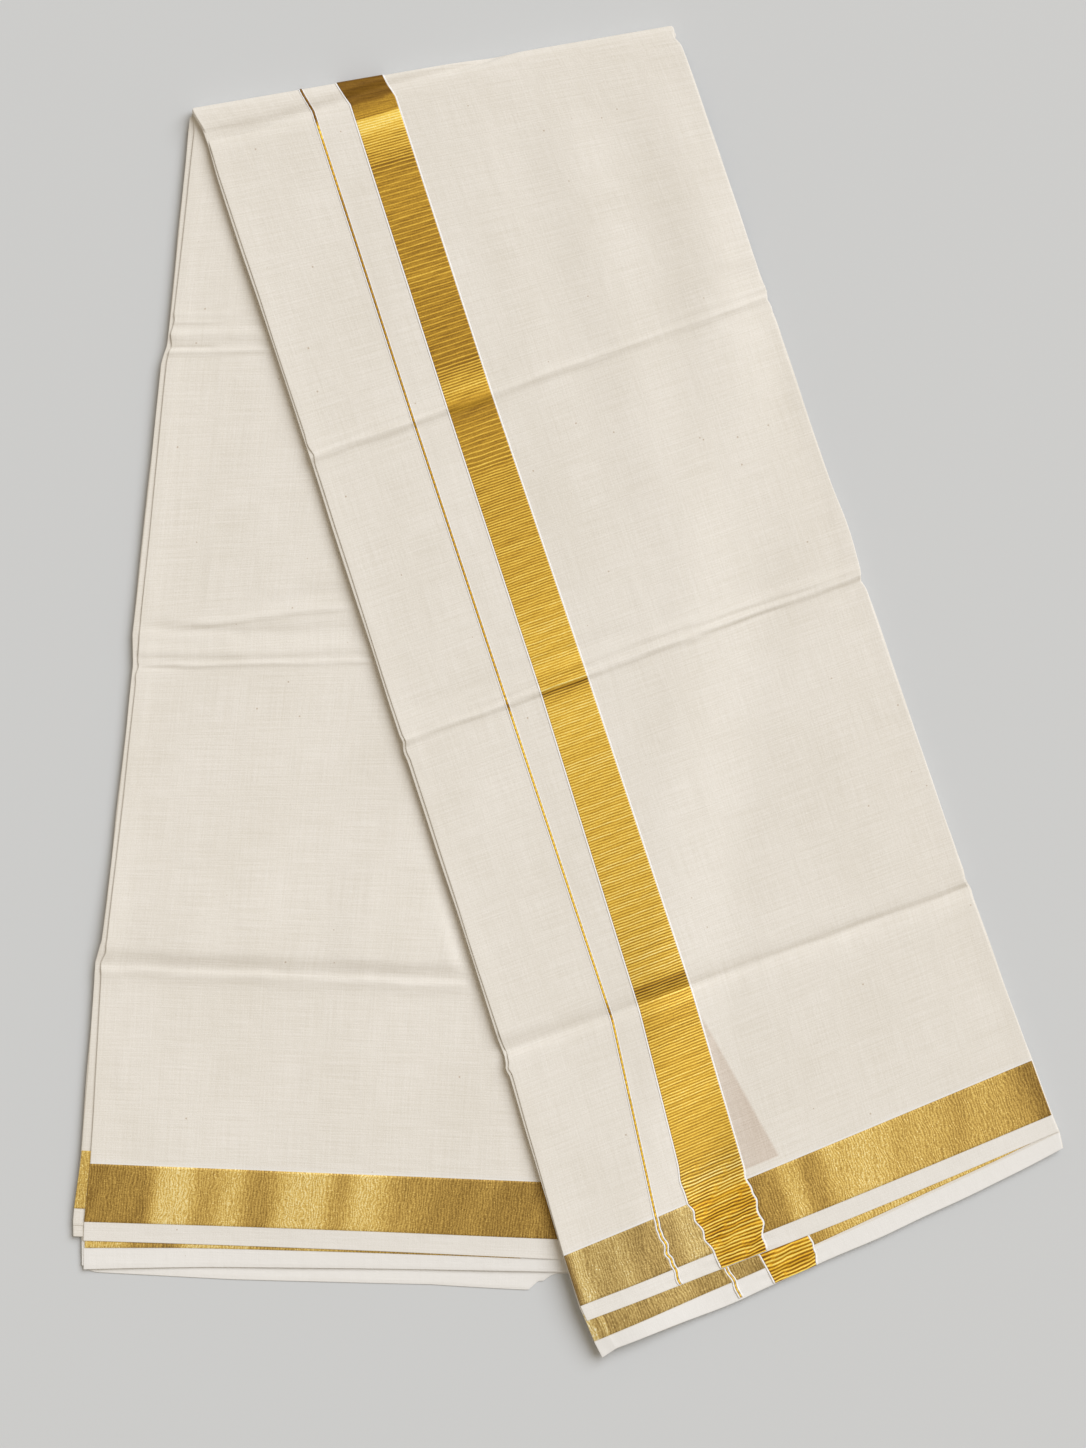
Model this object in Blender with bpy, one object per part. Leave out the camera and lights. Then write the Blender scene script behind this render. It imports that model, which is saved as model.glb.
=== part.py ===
"""Folded dhoti: a long uncut cotton cloth with gold borders, folded to a strip and doubled over.

The cloth is folded to a strip of sixteen plies, and the strip is doubled over a slanted top fold.
The back leg lies on the floor, and the front leg lies on it and swings off it to the right.
Each leg is one lattice of rows and columns. A point of it is found from its row, its column and
its level in the stack, so the plies, the hidden plies and the gold bands of a leg stay parallel.
Millimetres here, turned into metres when the meshes are made. +Y is up the cloth and +Z is up.
"""

import math
from collections import namedtuple

import bmesh
import bpy

COLLECTION = "folded_dhoti"
METRE = 0.001                 # one millimetre

# Finishes: colour, then (roughness, metallic)
COTTON = (0.79, 0.74, 0.66)
COTTON_FINISH = (0.9, 0.0)
GOLD = (0.62, 0.42, 0.11)
GOLD_FINISH = (0.38, 0.85)

# Levels in the stack
PLY_WALL = 1.0                # the ply that shows
HIDDEN_PLIES = 3.2            # the plies under it, pressed together
SEAM_GAP = 0.3
BAND_WALL = 0.5               # gold bands stand on the face ply
LEG_HEIGHT = HIDDEN_PLIES + SEAM_GAP + PLY_WALL
LIFT = LEG_HEIGHT + SEAM_GAP  # the front leg lies this high on the back leg
STACK_HEIGHT = LIFT + LEG_HEIGHT
FACE_LEVEL = HIDDEN_PLIES + SEAM_GAP
BAND_LEVEL = LEG_HEIGHT + SEAM_GAP
EDGE_ROUND = 0.35             # how far the edge of a pressed ply is rounded back

# The top fold
FOLD_DEPTH = 12.0             # from the outermost line to where the plies lie flat
FOLD_ANGLES = (180, 135, 108, 90, 72, 45, 0)
BAND_FOLD_ROWS = 2            # the bands end this many rows up from the back of the fold

# The front leg comes down to the floor beside the back leg and below its hem
SIDE_MARGIN = 20.0
HEM_MARGIN = 10.0
DROP_RUN = 50.0
BACK_SIDE_LINE = ((58.1, 336.9), (8.9, -296.8))
BACK_HEM_Y = -311.0

FOOTPRINT_MIDDLE = (0.32, -0.14)   # the stations' own origin is this far from the footprint's middle
THREAD_LINE_WIDTH = 1.6
RELIEF_REACH = 12.0           # half the width of an ironed crease
FADE_START = 46.0             # the back leg's creases fade out this far from the front leg
FADE_END = 24.0
EDGE_CLEARANCE = 0.4          # a band stops this far short of a folded edge

Station = namedtuple("Station", "name left right thread band_start band_end bow crease")

# Lines across the front leg: left and right ends in mm, and the thread line and the end band as
# shares of the width. bow pushes the middle of a line towards the hem; crease lifts or sinks it.
FRONT = (
    Station("fold_line", (-194.1, 301.4), (55.0, 344.3), 0.225, 0.298, 0.396, 0.0, 0.0),
    Station("fold", (-188.1, 289.8), (59.0, 332.4), 0.229, 0.306, 0.402, 0.0, 0.0),
    Station("crease_1", (-131.8, 121.2), (103.6, 202.9), 0.222, 0.296, 0.394, 0.0, 1.0),
    Station("crease_2", (-84.2, -26.3), (152.2, 58.6), 0.225, 0.297, 0.400, 0.0, 1.2),
    Station("crease_3", (-30.9, -190.8), (207.1, -100.8), 0.227, 0.285, 0.400, 0.0, -1.0),
    Station("border_top", (-2.0, -291.4), (239.9, -191.0), 0.196, 0.264, 0.392, 0.3, 0.0),
    Station("border_low", (6.4, -317.3), (250.4, -219.0), 0.197, 0.282, 0.390, 1.2, 0.0),
    Station("hem", (9.8, -325.1), (254.0, -227.7), 0.198, 0.283, 0.379, 2.0, 0.0),
    Station("second_border_low", (14.2, -336.0), (254.15, -228.1), 0.296, 0.366, 0.465, 2.2, 0.0),
    Station("second_hem", (18.3, -344.2), (256.2, -237.3), 0.298, 0.370, 0.461, 3.0, 0.0),
)

# The second ply's thread line and end band lie further to the right than the face's
SECOND_SHARES = {"thread": 0.294, "band_start": 0.363, "band_end": 0.469}

BackStation = namedtuple("BackStation", "name ledge left right bow crease")

# Lines across the back leg. ledge is the outer edge of the folded plies that show beside the face.
BACK = (
    BackStation("fold", (-196.2, 289.8), (-193.1, 289.8), (56.5, 332.4), 0.0, 0.0),
    BackStation("crease_1", (-207.1, 179.1), (-205.3, 179.1), (46.2, 182.7), 0.0, -0.8),
    BackStation("below_crease_1", (-210.1, 170.3), (-207.4, 170.3), (45.5, 172.0), 0.0, 0.0),
    BackStation("crease_2", (-225.2, 29.6), (-221.5, 29.6), (34.2, 48.2), 0.0, -0.7),
    BackStation("lower_crease_2", (-224.8, 13.5), (-222.4, 13.5), (33.3, 18.7), 0.0, 0.7),
    BackStation("above_crease_3", (-240.6, -128.2), (-238.0, -128.2), (21.5, -136.5), 0.0, 0.0),
    BackStation("crease_3", (-244.2, -140.1), (-240.9, -140.1), (20.8, -149.0), 0.0, 1.0),
    BackStation("ledge_border_top", (-251.6, -237.6), (-246.6, -237.8), (13.2, -248.4), 0.0, 0.0),
    BackStation("border_top", (-252.3, -244.1), (-246.9, -244.3), (12.6, -254.9), 0.0, 0.0),
    BackStation("ledge_border_low", (-255.4, -267.3), (-249.5, -267.5), (11.0, -277.9), 0.0, 0.0),
    BackStation("border_low", (-256.0, -274.1), (-250.2, -274.3), (10.5, -284.7), 0.0, 0.0),
    BackStation("ledge_end", (-255.8, -282.2), (-250.6, -282.4), (9.7, -294.2), 0.4, 0.0),
    BackStation("hem", (-251.6, -284.2), (-250.7, -284.4), (9.5, -296.3), 0.5, 0.0),
    BackStation("second_hem", (-251.6, -298.4), (-250.7, -298.6), (8.4, -302.0), -0.6, 0.0),
)

# The lowest ply of the back leg reaches further than the one above it, by this much at these shares
LOWEST_PLY_REACH = ((0.0, 1.3), (0.5, 8.3), (0.89, 9.2), (0.945, 1.0), (1.0, 0.0))
LOWEST_PLY_CORNER = 0.89

# The left edge of the front leg where it crosses the back leg's border
FRONT_LEG_EDGE = (FRONT[4].left, FRONT[5].left)
UNDER_CLEARANCE = 1.3

Ring = namedtuple("Ring", "level side hem")
Trim = namedtuple("Trim", "left right top hem")
NO_TRIM = Trim(0.0, 0.0, 0.0, 0.0)
Row = namedtuple("Row", "angle place")


def mix(start, end, share):
    return start + (end - start) * share


def mix_points(start, end, share):
    return (mix(start[0], end[0], share), mix(start[1], end[1], share))


def distance(start, end):
    return math.hypot(end[0] - start[0], end[1] - start[1])


def smooth_step(value):
    value = min(1.0, max(0.0, value))
    return value * value * (3.0 - 2.0 * value)


def read_table(table, share):
    """Read a value between the rows of a short table of (share, value)."""
    for (low_share, low), (high_share, high) in zip(table, table[1:]):
        if share <= high_share:
            return mix(low, high, max(0.0, share - low_share) / (high_share - low_share))
    return table[-1][1]


def beyond_line(point, line):
    """Distance of a point to the right of a line that runs down the cloth."""
    (x0, y0), (x1, y1) = line
    length = distance(*line)
    return ((point[0] - x0) * (y0 - y1) + (point[1] - y0) * (x1 - x0)) / length


class Leg:
    """One leg of the strip: stations down it, columns across it, levels up through it."""

    def __init__(self, stations):
        self.stations = stations
        self.names = [station.name for station in stations]

    def place(self, name, offset=0.0):
        """Place of a station, moved towards the hem by an offset in mm."""
        index = self.names.index(name)
        return self.moved(float(index), offset)

    def span(self, index):
        """Length of the stretch of the leg that follows a station."""
        index = min(max(index, 0), len(self.stations) - 2)
        upper = self.stations[index]
        lower = self.stations[index + 1]
        return distance(mix_points(upper.left, upper.right, 0.5),
                        mix_points(lower.left, lower.right, 0.5))

    def moved(self, place, offset):
        """Move a place down the leg by an offset in mm that stays within one stretch."""
        whole = math.floor(place + (1e-6 if offset >= 0.0 else -1e-6))
        return place + offset / self.span(whole)

    def between(self, place):
        """The stations on both sides of a place and the share of the way between them."""
        index = min(max(math.floor(place), 0), len(self.stations) - 2)
        return self.stations[index], self.stations[index + 1], place - index

    def value(self, name, place):
        upper, lower, share = self.between(place)
        return mix(getattr(upper, name), getattr(lower, name), share)

    def ends(self, place):
        upper, lower, share = self.between(place)
        return mix_points(upper.left, lower.left, share), mix_points(upper.right, lower.right, share)

    def on_line(self, across, place):
        """Plan position of a share across the leg at a place down it."""
        left, right = self.ends(place)
        x, y = mix_points(left, right, across)
        bow = self.value("bow", place) * math.sin(math.pi * min(1.0, max(0.0, across)))
        width = distance(left, right)
        return (x + bow * (right[1] - left[1]) / width, y - bow * (right[0] - left[0]) / width)

    def column(self, anchors, place):
        """Share across the leg of a column that stands between two named lines down the leg."""
        start, end, share = anchors
        return mix(self.anchor(start, place), self.anchor(end, place), share)

    def crease(self, place):
        """Height of the ironed creases at a place: a ridge or a trough with straight sides."""
        height = 0.0
        for index, station in enumerate(self.stations):
            if station.crease:
                away = abs(place - index) * self.span(index if place >= index else index - 1)
                height += station.crease * max(0.0, 1.0 - away / RELIEF_REACH)
        return height


class FrontLeg(Leg):
    """The upper leg. It rolls over the top fold and comes down to the floor on the right."""

    back_of_fold = ((-195.0, 289.8), (56.5, 332.4))

    def anchor(self, name, place):
        if name in ("left", "right"):
            return float(name == "right")
        if name in ("thread_start", "thread_end"):
            half = 0.5 * THREAD_LINE_WIDTH / distance(*self.ends(place))
            return self.value("thread", place) + (half if name == "thread_end" else -half)
        return self.value(name, place)

    def base(self, point):
        """Height of the leg's underside: on the back leg, or down to the floor beside it."""
        beside = beyond_line(point, BACK_SIDE_LINE) - SIDE_MARGIN
        below = BACK_HEM_Y - point[1] - HEM_MARGIN
        kept = (1.0 - smooth_step(beside / DROP_RUN)) * (1.0 - smooth_step(below / DROP_RUN))
        return LIFT * kept

    def wave(self, across, place):
        """Soft lengthwise waves, in the upper half of the leg's right side."""
        swell = smooth_step((across - 0.45) / 0.25) * smooth_step((place - 1.0) / 0.35)
        swell *= 1.0 - smooth_step((place - 2.2) / 1.0)
        return 0.35 * swell * math.sin(across * 27.0 + place * 1.1)

    def point(self, across, row, level):
        if row.angle > 0.0:
            return self.turn(across, row.angle, level)
        x, y = self.on_line(across, row.place)
        lifted = min(1.0, level / HIDDEN_PLIES)
        relief = (self.crease(row.place) + self.wave(across, row.place)) * lifted
        return x, y, self.base((x, y)) + level + relief

    def turn(self, across, angle, level):
        """A point of the top fold, whose levels turn over as half ellipses inside each other."""
        middle = 0.5 * STACK_HEIGHT
        height = LIFT + level
        reach = 1.0 - (STACK_HEIGHT - height) / FOLD_DEPTH
        lower = 0.5 - 0.5 * math.cos(angle)
        centre = mix_points(self.on_line(across, 1.0), mix_points(*self.back_of_fold, across), lower)
        x, y = mix_points(centre, self.on_line(across, 0.0), reach * math.sin(angle))
        return x, y, middle + (height - middle) * math.cos(angle)


class BackLeg(Leg):
    """The lower leg. It lies flat on the floor under the front leg."""

    def anchor(self, name, place):
        """Share across of a named line; that of the ledge, left of the face, is below nought."""
        left, right = self.ends(place)
        if name == "front_leg":
            clear = -beyond_line(left, FRONT_LEG_EDGE) - UNDER_CLEARANCE
            return clear / (beyond_line(right, FRONT_LEG_EDGE) - beyond_line(left, FRONT_LEG_EDGE))
        if name == "ledge":
            upper, lower, share = self.between(place)
            return -distance(mix_points(upper.ledge, lower.ledge, share), left) / distance(left, right)
        return {"left": 0.0, "corner": LOWEST_PLY_CORNER, "right": 1.0}[name]

    def point(self, across, row, level):
        x, y = self.on_line(across, row.place)
        away = -beyond_line((x, y), (FRONT[1].left, FRONT[6].left))
        fade = smooth_step((away - FADE_END) / (FADE_START - FADE_END))
        relief = self.crease(row.place) * fade * min(1.0, level / HIDDEN_PLIES)
        return x, y, level + relief


def between_anchors(start, end, steps):
    """Columns from one anchor up to, and without, the next."""
    return [(start, end, step / steps) for step in range(steps)]


FRONT_COLUMNS = (between_anchors("left", "thread_start", 3)
                 + between_anchors("thread_start", "thread_end", 1)
                 + between_anchors("thread_end", "band_start", 1)
                 + between_anchors("band_start", "band_end", 2)
                 + between_anchors("band_end", "right", 9)
                 + [("right", "right", 0.0)])
THREAD = FRONT_COLUMNS.index(("thread_start", "thread_end", 0.0))
BAND = FRONT_COLUMNS.index(("band_start", "band_end", 0.0))
AFTER_BAND = FRONT_COLUMNS.index(("band_end", "right", 0.0))
LAST_COLUMN = len(FRONT_COLUMNS) - 1
SECOND_BORDER_END = LAST_COLUMN - 2    # further right the second ply's border is hidden
BACK_COLUMNS = ([("ledge", "left", 0.0)] + between_anchors("left", "corner", 12)
                + between_anchors("corner", "right", 2) + [("right", "right", 0.0)])
BACK_BORDER_COLUMNS = between_anchors("left", "front_leg", 10) + [("front_leg", "front_leg", 0.0)]


def flat_rows(leg, stops):
    """Rows down a leg. Each stop is (station, offset, rows added before it)."""
    rows = []
    for name, offset, added in stops:
        place = leg.place(name, offset)
        if rows:
            last = rows[-1].place
            rows += [Row(0.0, mix(last, place, step / (added + 1))) for step in range(1, added + 1)]
        rows.append(Row(0.0, place))
    return rows


def slab(name, leg, columns, rows, rings, trim, colour, gloss):
    """A closed slab on the leg's lattice: a grid on top, rings down its edge, a grid below.

    A ring has a level and how far it stands out at the sides and at the hem. The first ring
    is the edge of the top grid, and the last is the edge of the grid below.
    """
    mesh = bmesh.new()
    column_of = mesh.verts.layers.int.new("column")
    row_of = mesh.verts.layers.int.new("row")
    last_column = len(columns) - 1
    last_row = len(rows) - 1
    bmesh.ops.create_grid(mesh, x_segments=last_column, y_segments=last_row, size=1.0)
    for vert in mesh.verts:
        vert[column_of] = round((vert.co.x + 1.0) / 2.0 * last_column)
        vert[row_of] = round((1.0 - vert.co.y) / 2.0 * last_row)
    bmesh.ops.triangulate(mesh, faces=mesh.faces[:], quad_method="FIXED")

    def move_to(verts, ring):
        for vert in verts:
            column = vert[column_of]
            row = rows[vert[row_of]]
            across = leg.column(columns[column], row.place)
            width = distance(*leg.ends(row.place))
            if column == 0:
                across -= (ring.side - trim.left) / width
            if column == last_column:
                across += (ring.side - trim.right) / width
            if vert[row_of] == 0 and row.angle == 0.0:
                row = Row(0.0, leg.moved(row.place, trim.top - ring.side))
            if vert[row_of] == last_row:
                reach = ring.hem(across) if callable(ring.hem) else ring.hem
                row = Row(0.0, row.place + (reach - trim.hem) / leg.span(math.ceil(row.place) - 1))
            x, y, z = leg.point(across, row, ring.level)
            vert.co = (METRE * (x - FOOTPRINT_MIDDLE[0]), METRE * (y - FOOTPRINT_MIDDLE[1]), METRE * z)

    top_faces = mesh.faces[:]
    edges = [edge for edge in mesh.edges if edge.is_boundary]
    move_to(mesh.verts, rings[0])
    for ring in rings[1:]:
        wall = bmesh.ops.extrude_edge_only(mesh, edges=edges)["geom"]
        move_to([item for item in wall if isinstance(item, bmesh.types.BMVert)], ring)
        edges = [item for item in wall if isinstance(item, bmesh.types.BMEdge) and item.is_boundary]
    below = bmesh.ops.duplicate(mesh, geom=top_faces)["geom"]
    move_to([item for item in below if isinstance(item, bmesh.types.BMVert)], rings[-1])
    bmesh.ops.reverse_faces(mesh, faces=[item for item in below if isinstance(item, bmesh.types.BMFace)])
    bmesh.ops.remove_doubles(mesh, verts=mesh.verts, dist=0.01 * METRE)
    bmesh.ops.recalc_face_normals(mesh, faces=mesh.faces)
    data = bpy.data.meshes.new(name)
    mesh.to_mesh(data)
    mesh.free()
    data.materials.append(finish(name, colour, gloss))
    data.shade_smooth()
    data.set_sharp_from_angle(angle=math.radians(35.0))
    piece = bpy.data.objects.new(name, data)
    bpy.data.collections[COLLECTION].objects.link(piece)
    return piece


def finish(name, colour, gloss):
    """A Principled material for one piece; gloss is (roughness, metallic)."""
    material = bpy.data.materials.new(name + "_finish")
    material.use_nodes = True
    shader = material.node_tree.nodes["Principled BSDF"]
    shader.inputs["Base Color"].default_value = (*colour, 1.0)
    shader.inputs["Roughness"].default_value = gloss[0]
    shader.inputs["Metallic"].default_value = gloss[1]
    return material


FOLD_ROWS = [Row(math.radians(angle), 1.0 - math.sin(math.radians(angle))) for angle in FOLD_ANGLES]


def layered_rings(top, reaches):
    """Rings down the side of pressed plies: one rounded layer for each (side, hem) reach."""
    depth = top / len(reaches)
    rings = []
    for index, (side, hem) in enumerate(reaches):
        upper = top - index * depth
        tucked = hem if callable(hem) else hem - EDGE_ROUND
        rings.append(Ring(upper, side - EDGE_ROUND, tucked))
        rings.append(Ring(upper - 0.5 * depth, side, hem))
    side, hem = reaches[-1]
    rings.append(Ring(0.0, side - EDGE_ROUND, hem if callable(hem) else hem - EDGE_ROUND))
    return rings


def wall_rings(level, wall):
    """Rings of a single ply or band: rounded over at both faces."""
    tuck = 0.3 * wall
    return [Ring(level + wall, -tuck, -tuck), Ring(level + 0.5 * wall, 0.0, 0.0), Ring(level, -tuck, -tuck)]


def front_rows():
    return FOLD_ROWS + flat_rows(FrontLeg(FRONT), (
        ("fold", 14.0, 0),
        ("crease_1", -RELIEF_REACH, 3),
        ("crease_1", 0.0, 0),
        ("crease_1", RELIEF_REACH, 0),
        ("crease_2", -RELIEF_REACH, 3),
        ("crease_2", 0.0, 0),
        ("crease_2", RELIEF_REACH, 0),
        ("crease_3", -RELIEF_REACH, 4),
        ("crease_3", 0.0, 0),
        ("crease_3", RELIEF_REACH, 0),
        ("border_top", 0.0, 3),
        ("border_low", 0.0, 1),
        ("hem", 0.0, 0),
        ("second_border_low", 0.0, 0),
        ("second_hem", 0.0, 0),
    ))


def back_rows(start):
    return flat_rows(BackLeg(BACK), (
        ("fold", start, 0),
        ("crease_1", -RELIEF_REACH, 3),
        ("crease_1", 0.0, 0),
        ("below_crease_1", 0.0, 0),
        ("crease_2", -RELIEF_REACH, 3),
        ("crease_2", 0.0, 0),
        ("lower_crease_2", 0.0, 0),
        ("lower_crease_2", RELIEF_REACH, 0),
        ("above_crease_3", 0.0, 3),
        ("crease_3", 0.0, 0),
        ("crease_3", RELIEF_REACH, 0),
        ("ledge_border_top", 0.0, 2),
        ("border_top", 0.0, 0),
        ("ledge_border_low", 0.0, 0),
        ("border_low", 0.0, 0),
        ("ledge_end", 0.0, 0),
        ("hem", 0.0, 0),
        ("second_hem", 0.0, 0),
    ))


def row_index(rows, leg, name):
    """Index of the row that lies on a station."""
    place = leg.place(name)
    return min(range(len(rows)), key=lambda index: abs(rows[index].place - place) + rows[index].angle)


def build_back():
    leg = BackLeg(BACK)
    rows = back_rows(SEAM_GAP)
    border_top = row_index(rows, leg, "border_top")
    border_low = row_index(rows, leg, "border_low")
    ledge_top = row_index(rows, leg, "ledge_border_top")
    ledge_low = row_index(rows, leg, "ledge_border_low")
    hem = row_index(rows, leg, "hem")

    def lowest_reach(across):
        return read_table(LOWEST_PLY_REACH, across)

    slab("back_hidden_plies", leg, BACK_COLUMNS, rows,
         layered_rings(HIDDEN_PLIES, [(0.0, 0.0), (0.3, -1.0), (-0.2, lowest_reach)]),
         NO_TRIM, COTTON, COTTON_FINISH)
    slab("back_face", leg, BACK_COLUMNS[1:], rows[:hem + 1], wall_rings(FACE_LEVEL, PLY_WALL),
         NO_TRIM, COTTON, COTTON_FINISH)
    slab("back_border", leg, BACK_BORDER_COLUMNS, rows[border_top:border_low + 1],
         wall_rings(BAND_LEVEL, BAND_WALL), Trim(EDGE_CLEARANCE, 0.0, 0.0, 0.0), GOLD, GOLD_FINISH)
    slab("back_folded_edge_border", leg, BACK_COLUMNS[:2], rows[ledge_top:ledge_low + 1],
         wall_rings(FACE_LEVEL, BAND_WALL), Trim(EDGE_CLEARANCE, SEAM_GAP, 0.0, 0.0), GOLD, GOLD_FINISH)


def build_front():
    leg = FrontLeg(FRONT)
    rows = front_rows()
    border_top = row_index(rows, leg, "border_top")
    border_low = row_index(rows, leg, "border_low")
    hem = row_index(rows, leg, "hem")
    second_low = row_index(rows, leg, "second_border_low")
    second_hem = row_index(rows, leg, "second_hem")
    slab("front_hidden_plies", leg, FRONT_COLUMNS, rows,
         layered_rings(HIDDEN_PLIES, [(0.8, 0.0), (0.5, -1.5), (0.2, -2.5)]),
         NO_TRIM, COTTON, COTTON_FINISH)
    slab("front_face", leg, FRONT_COLUMNS, rows[:hem + 1], wall_rings(FACE_LEVEL, PLY_WALL),
         NO_TRIM, COTTON, COTTON_FINISH)
    band_rings = wall_rings(BAND_LEVEL, BAND_WALL)
    slab("front_thread_line", leg, FRONT_COLUMNS[THREAD:THREAD + 2], rows[BAND_FOLD_ROWS:hem + 1],
         band_rings, NO_TRIM, GOLD, GOLD_FINISH)
    slab("front_end_band", leg, FRONT_COLUMNS[BAND:AFTER_BAND + 1], rows[BAND_FOLD_ROWS:hem + 1],
         band_rings, NO_TRIM, GOLD, GOLD_FINISH)
    at_left_edge = Trim(EDGE_CLEARANCE, SEAM_GAP, 0.0, 0.0)
    between_bands = Trim(SEAM_GAP, SEAM_GAP, 0.0, 0.0)
    at_right_edge = Trim(SEAM_GAP, EDGE_CLEARANCE, 0.0, 0.0)
    for name, start, end, trim in (
            ("front_border_left", 0, THREAD, at_left_edge),
            ("front_border_middle", THREAD + 1, BAND, between_bands),
            ("front_border_right", AFTER_BAND, LAST_COLUMN, at_right_edge)):
        slab(name, leg, FRONT_COLUMNS[start:end + 1], rows[border_top:border_low + 1],
             band_rings, trim, GOLD, GOLD_FINISH)
    second_rings = wall_rings(FACE_LEVEL, BAND_WALL)
    second_leg = FrontLeg(tuple(station._replace(**SECOND_SHARES) if station.name == "hem" else station
                                for station in FRONT))
    under_hem = Trim(0.0, 0.0, SEAM_GAP, EDGE_CLEARANCE)
    for name, start, end, low, trim in (
            ("front_second_border_left", 0, THREAD, second_low, at_left_edge._replace(top=SEAM_GAP)),
            ("front_second_thread_line", THREAD, THREAD + 1, second_hem, under_hem),
            ("front_second_border_middle", THREAD + 1, BAND, second_low, between_bands._replace(top=SEAM_GAP)),
            ("front_second_end_band", BAND, AFTER_BAND, second_hem, under_hem),
            ("front_second_border_right", AFTER_BAND, SECOND_BORDER_END, second_low,
             between_bands._replace(top=SEAM_GAP))):
        slab(name, second_leg, FRONT_COLUMNS[start:end + 1], rows[hem:low + 1], second_rings, trim,
             GOLD, GOLD_FINISH)


def main():
    for old in list(bpy.data.objects):
        bpy.data.objects.remove(old, do_unlink=True)
    collection = bpy.data.collections.new(COLLECTION)
    bpy.context.scene.collection.children.link(collection)
    build_back()
    build_front()


main()
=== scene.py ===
# The looks of a folded dhoti: thin cotton plies with gold woven into them, folded to a strip and doubled
# over a slanted top fold. Each leg of the strip is one lattice: a point is found from its share across,
# its distance down the cloth and its level in the stack, so that the plies, the gold and the threads of
# a leg stay parallel. The lattice is in millimetres, turned into metres when the meshes are made, and the
# camera and the floor are in metres. +Y is up the cloth.

import math
from collections import namedtuple

import bmesh
import bpy
import numpy as np
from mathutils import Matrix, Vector


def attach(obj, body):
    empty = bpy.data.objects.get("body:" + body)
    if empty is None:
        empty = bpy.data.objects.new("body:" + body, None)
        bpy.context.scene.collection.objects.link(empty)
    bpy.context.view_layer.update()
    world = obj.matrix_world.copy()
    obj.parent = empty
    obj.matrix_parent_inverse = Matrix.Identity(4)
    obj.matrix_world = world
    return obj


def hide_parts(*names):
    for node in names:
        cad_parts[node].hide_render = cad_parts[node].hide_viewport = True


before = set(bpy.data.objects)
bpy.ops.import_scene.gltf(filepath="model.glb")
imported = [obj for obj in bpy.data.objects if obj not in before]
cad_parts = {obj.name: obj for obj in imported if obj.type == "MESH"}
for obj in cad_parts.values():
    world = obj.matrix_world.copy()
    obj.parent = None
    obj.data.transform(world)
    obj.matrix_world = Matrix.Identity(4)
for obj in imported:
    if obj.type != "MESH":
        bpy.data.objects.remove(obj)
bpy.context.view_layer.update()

MM = 0.001  # one millimetre in metres
FOOTPRINT_MIDDLE = (0.32, -0.14)  # the footprint's middle in the stations' own millimetres
TURN = 2.0 * math.pi

# ---------------------------------------------------------------- camera, floor and light

CAMERA_PLACE = (-0.0131, -0.0168, 2.085)
CAMERA_LENS = 100.0
FLOOR_DEPTH = 0.0003  # the floor lies this far below the cloth
FLOOR_SIZE = 4.0
FLOOR_COLOUR = (0.60, 0.605, 0.60)
KEY_FROM = (0.516, 0.465, 0.719)  # the way to the soft key light: upper right, and half way up
KEY_SPREAD = 0.85  # how wide it is, in radians
KEY_STRENGTH = 2.72
KEY_COLOUR = (0.945, 0.995, 1.085)
WORLD_COLOUR = (1.0, 0.89, 0.72)
WORLD_STRENGTH = 0.41


def add_camera():
    camera = bpy.data.objects.new("camera", bpy.data.cameras.new("camera"))
    camera.data.lens = CAMERA_LENS
    camera.location = CAMERA_PLACE
    bpy.context.scene.collection.objects.link(camera)
    bpy.context.scene.camera = camera


def add_lamps():
    world = bpy.data.worlds.new("studio")
    world.use_nodes = True
    background = world.node_tree.nodes["Background"]
    background.inputs["Color"].default_value = (*WORLD_COLOUR, 1.0)
    background.inputs["Strength"].default_value = WORLD_STRENGTH
    bpy.context.scene.world = world
    light = bpy.data.lights.new("soft_key", "SUN")
    light.angle = KEY_SPREAD
    light.energy = KEY_STRENGTH
    light.color = KEY_COLOUR
    lamp = bpy.data.objects.new("soft_key", light)
    lamp.location = KEY_FROM
    lamp.rotation_euler = Vector(KEY_FROM).to_track_quat("Z", "Y").to_euler()
    bpy.context.scene.collection.objects.link(lamp)


def add_floor():
    mesh = bmesh.new()
    bmesh.ops.create_grid(mesh, x_segments=8, y_segments=8, size=FLOOR_SIZE / 2.0)
    bmesh.ops.translate(mesh, verts=mesh.verts, vec=(0.0, 0.0, -FLOOR_DEPTH))
    finish = Finish("pale_floor", {"Roughness": 0.7, "Base Color": (*FLOOR_COLOUR, 1.0)})
    link_mesh("floor", mesh, finish.material)


# ---------------------------------------------------------------- the lattice of the two legs

STACK_HEIGHT = 9.3
LIFT = 4.8  # the front leg lies this high on the back leg
FULL_RELIEF = 3.2  # creases are whole from this level up and flatter below it
FOLD_DEPTH = 12.0
FOLD_ARC = 29.0  # this much cloth goes round the top fold
FOLD_LINE_DOWN = -12.8
FOLD_SQUARE = 4.6  # two would make the fold an ellipse; more makes it squarer
FOLD_PRESSED = 1.8  # below, the fold's inner plies lie this much lower, under the back leg's
SIDE_MARGIN = 20.0  # this far to the right of the back leg,
HEM_MARGIN = 10.0  # and this far below its hem, the front leg starts to come down to the floor,
DROP_RUN = 50.0  # over this length
BACK_SIDE_LINE = ((58.1, 336.9), (8.9, -296.8))  # the back leg's right side
BACK_HEM_Y = -311.0  # below the back leg's hem
HEM_TAPER = 0.25  # the back leg's stack gets thinner by this share towards its hem,
TAPER_ABOVE = 50.0  # from this far above the hem,
TAPER_RUN = 55.0  # over this length
FADE_START = 9.0  # the back leg's creases begin to fade this far from the front leg,
FADE_END = 1.0  # and are gone this near to it
CREASE_GAIN = 1.75  # all creases stand this much higher than their table says
CREASE_ENDS = 0.3  # a crease fades over this share of its length at each end
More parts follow.
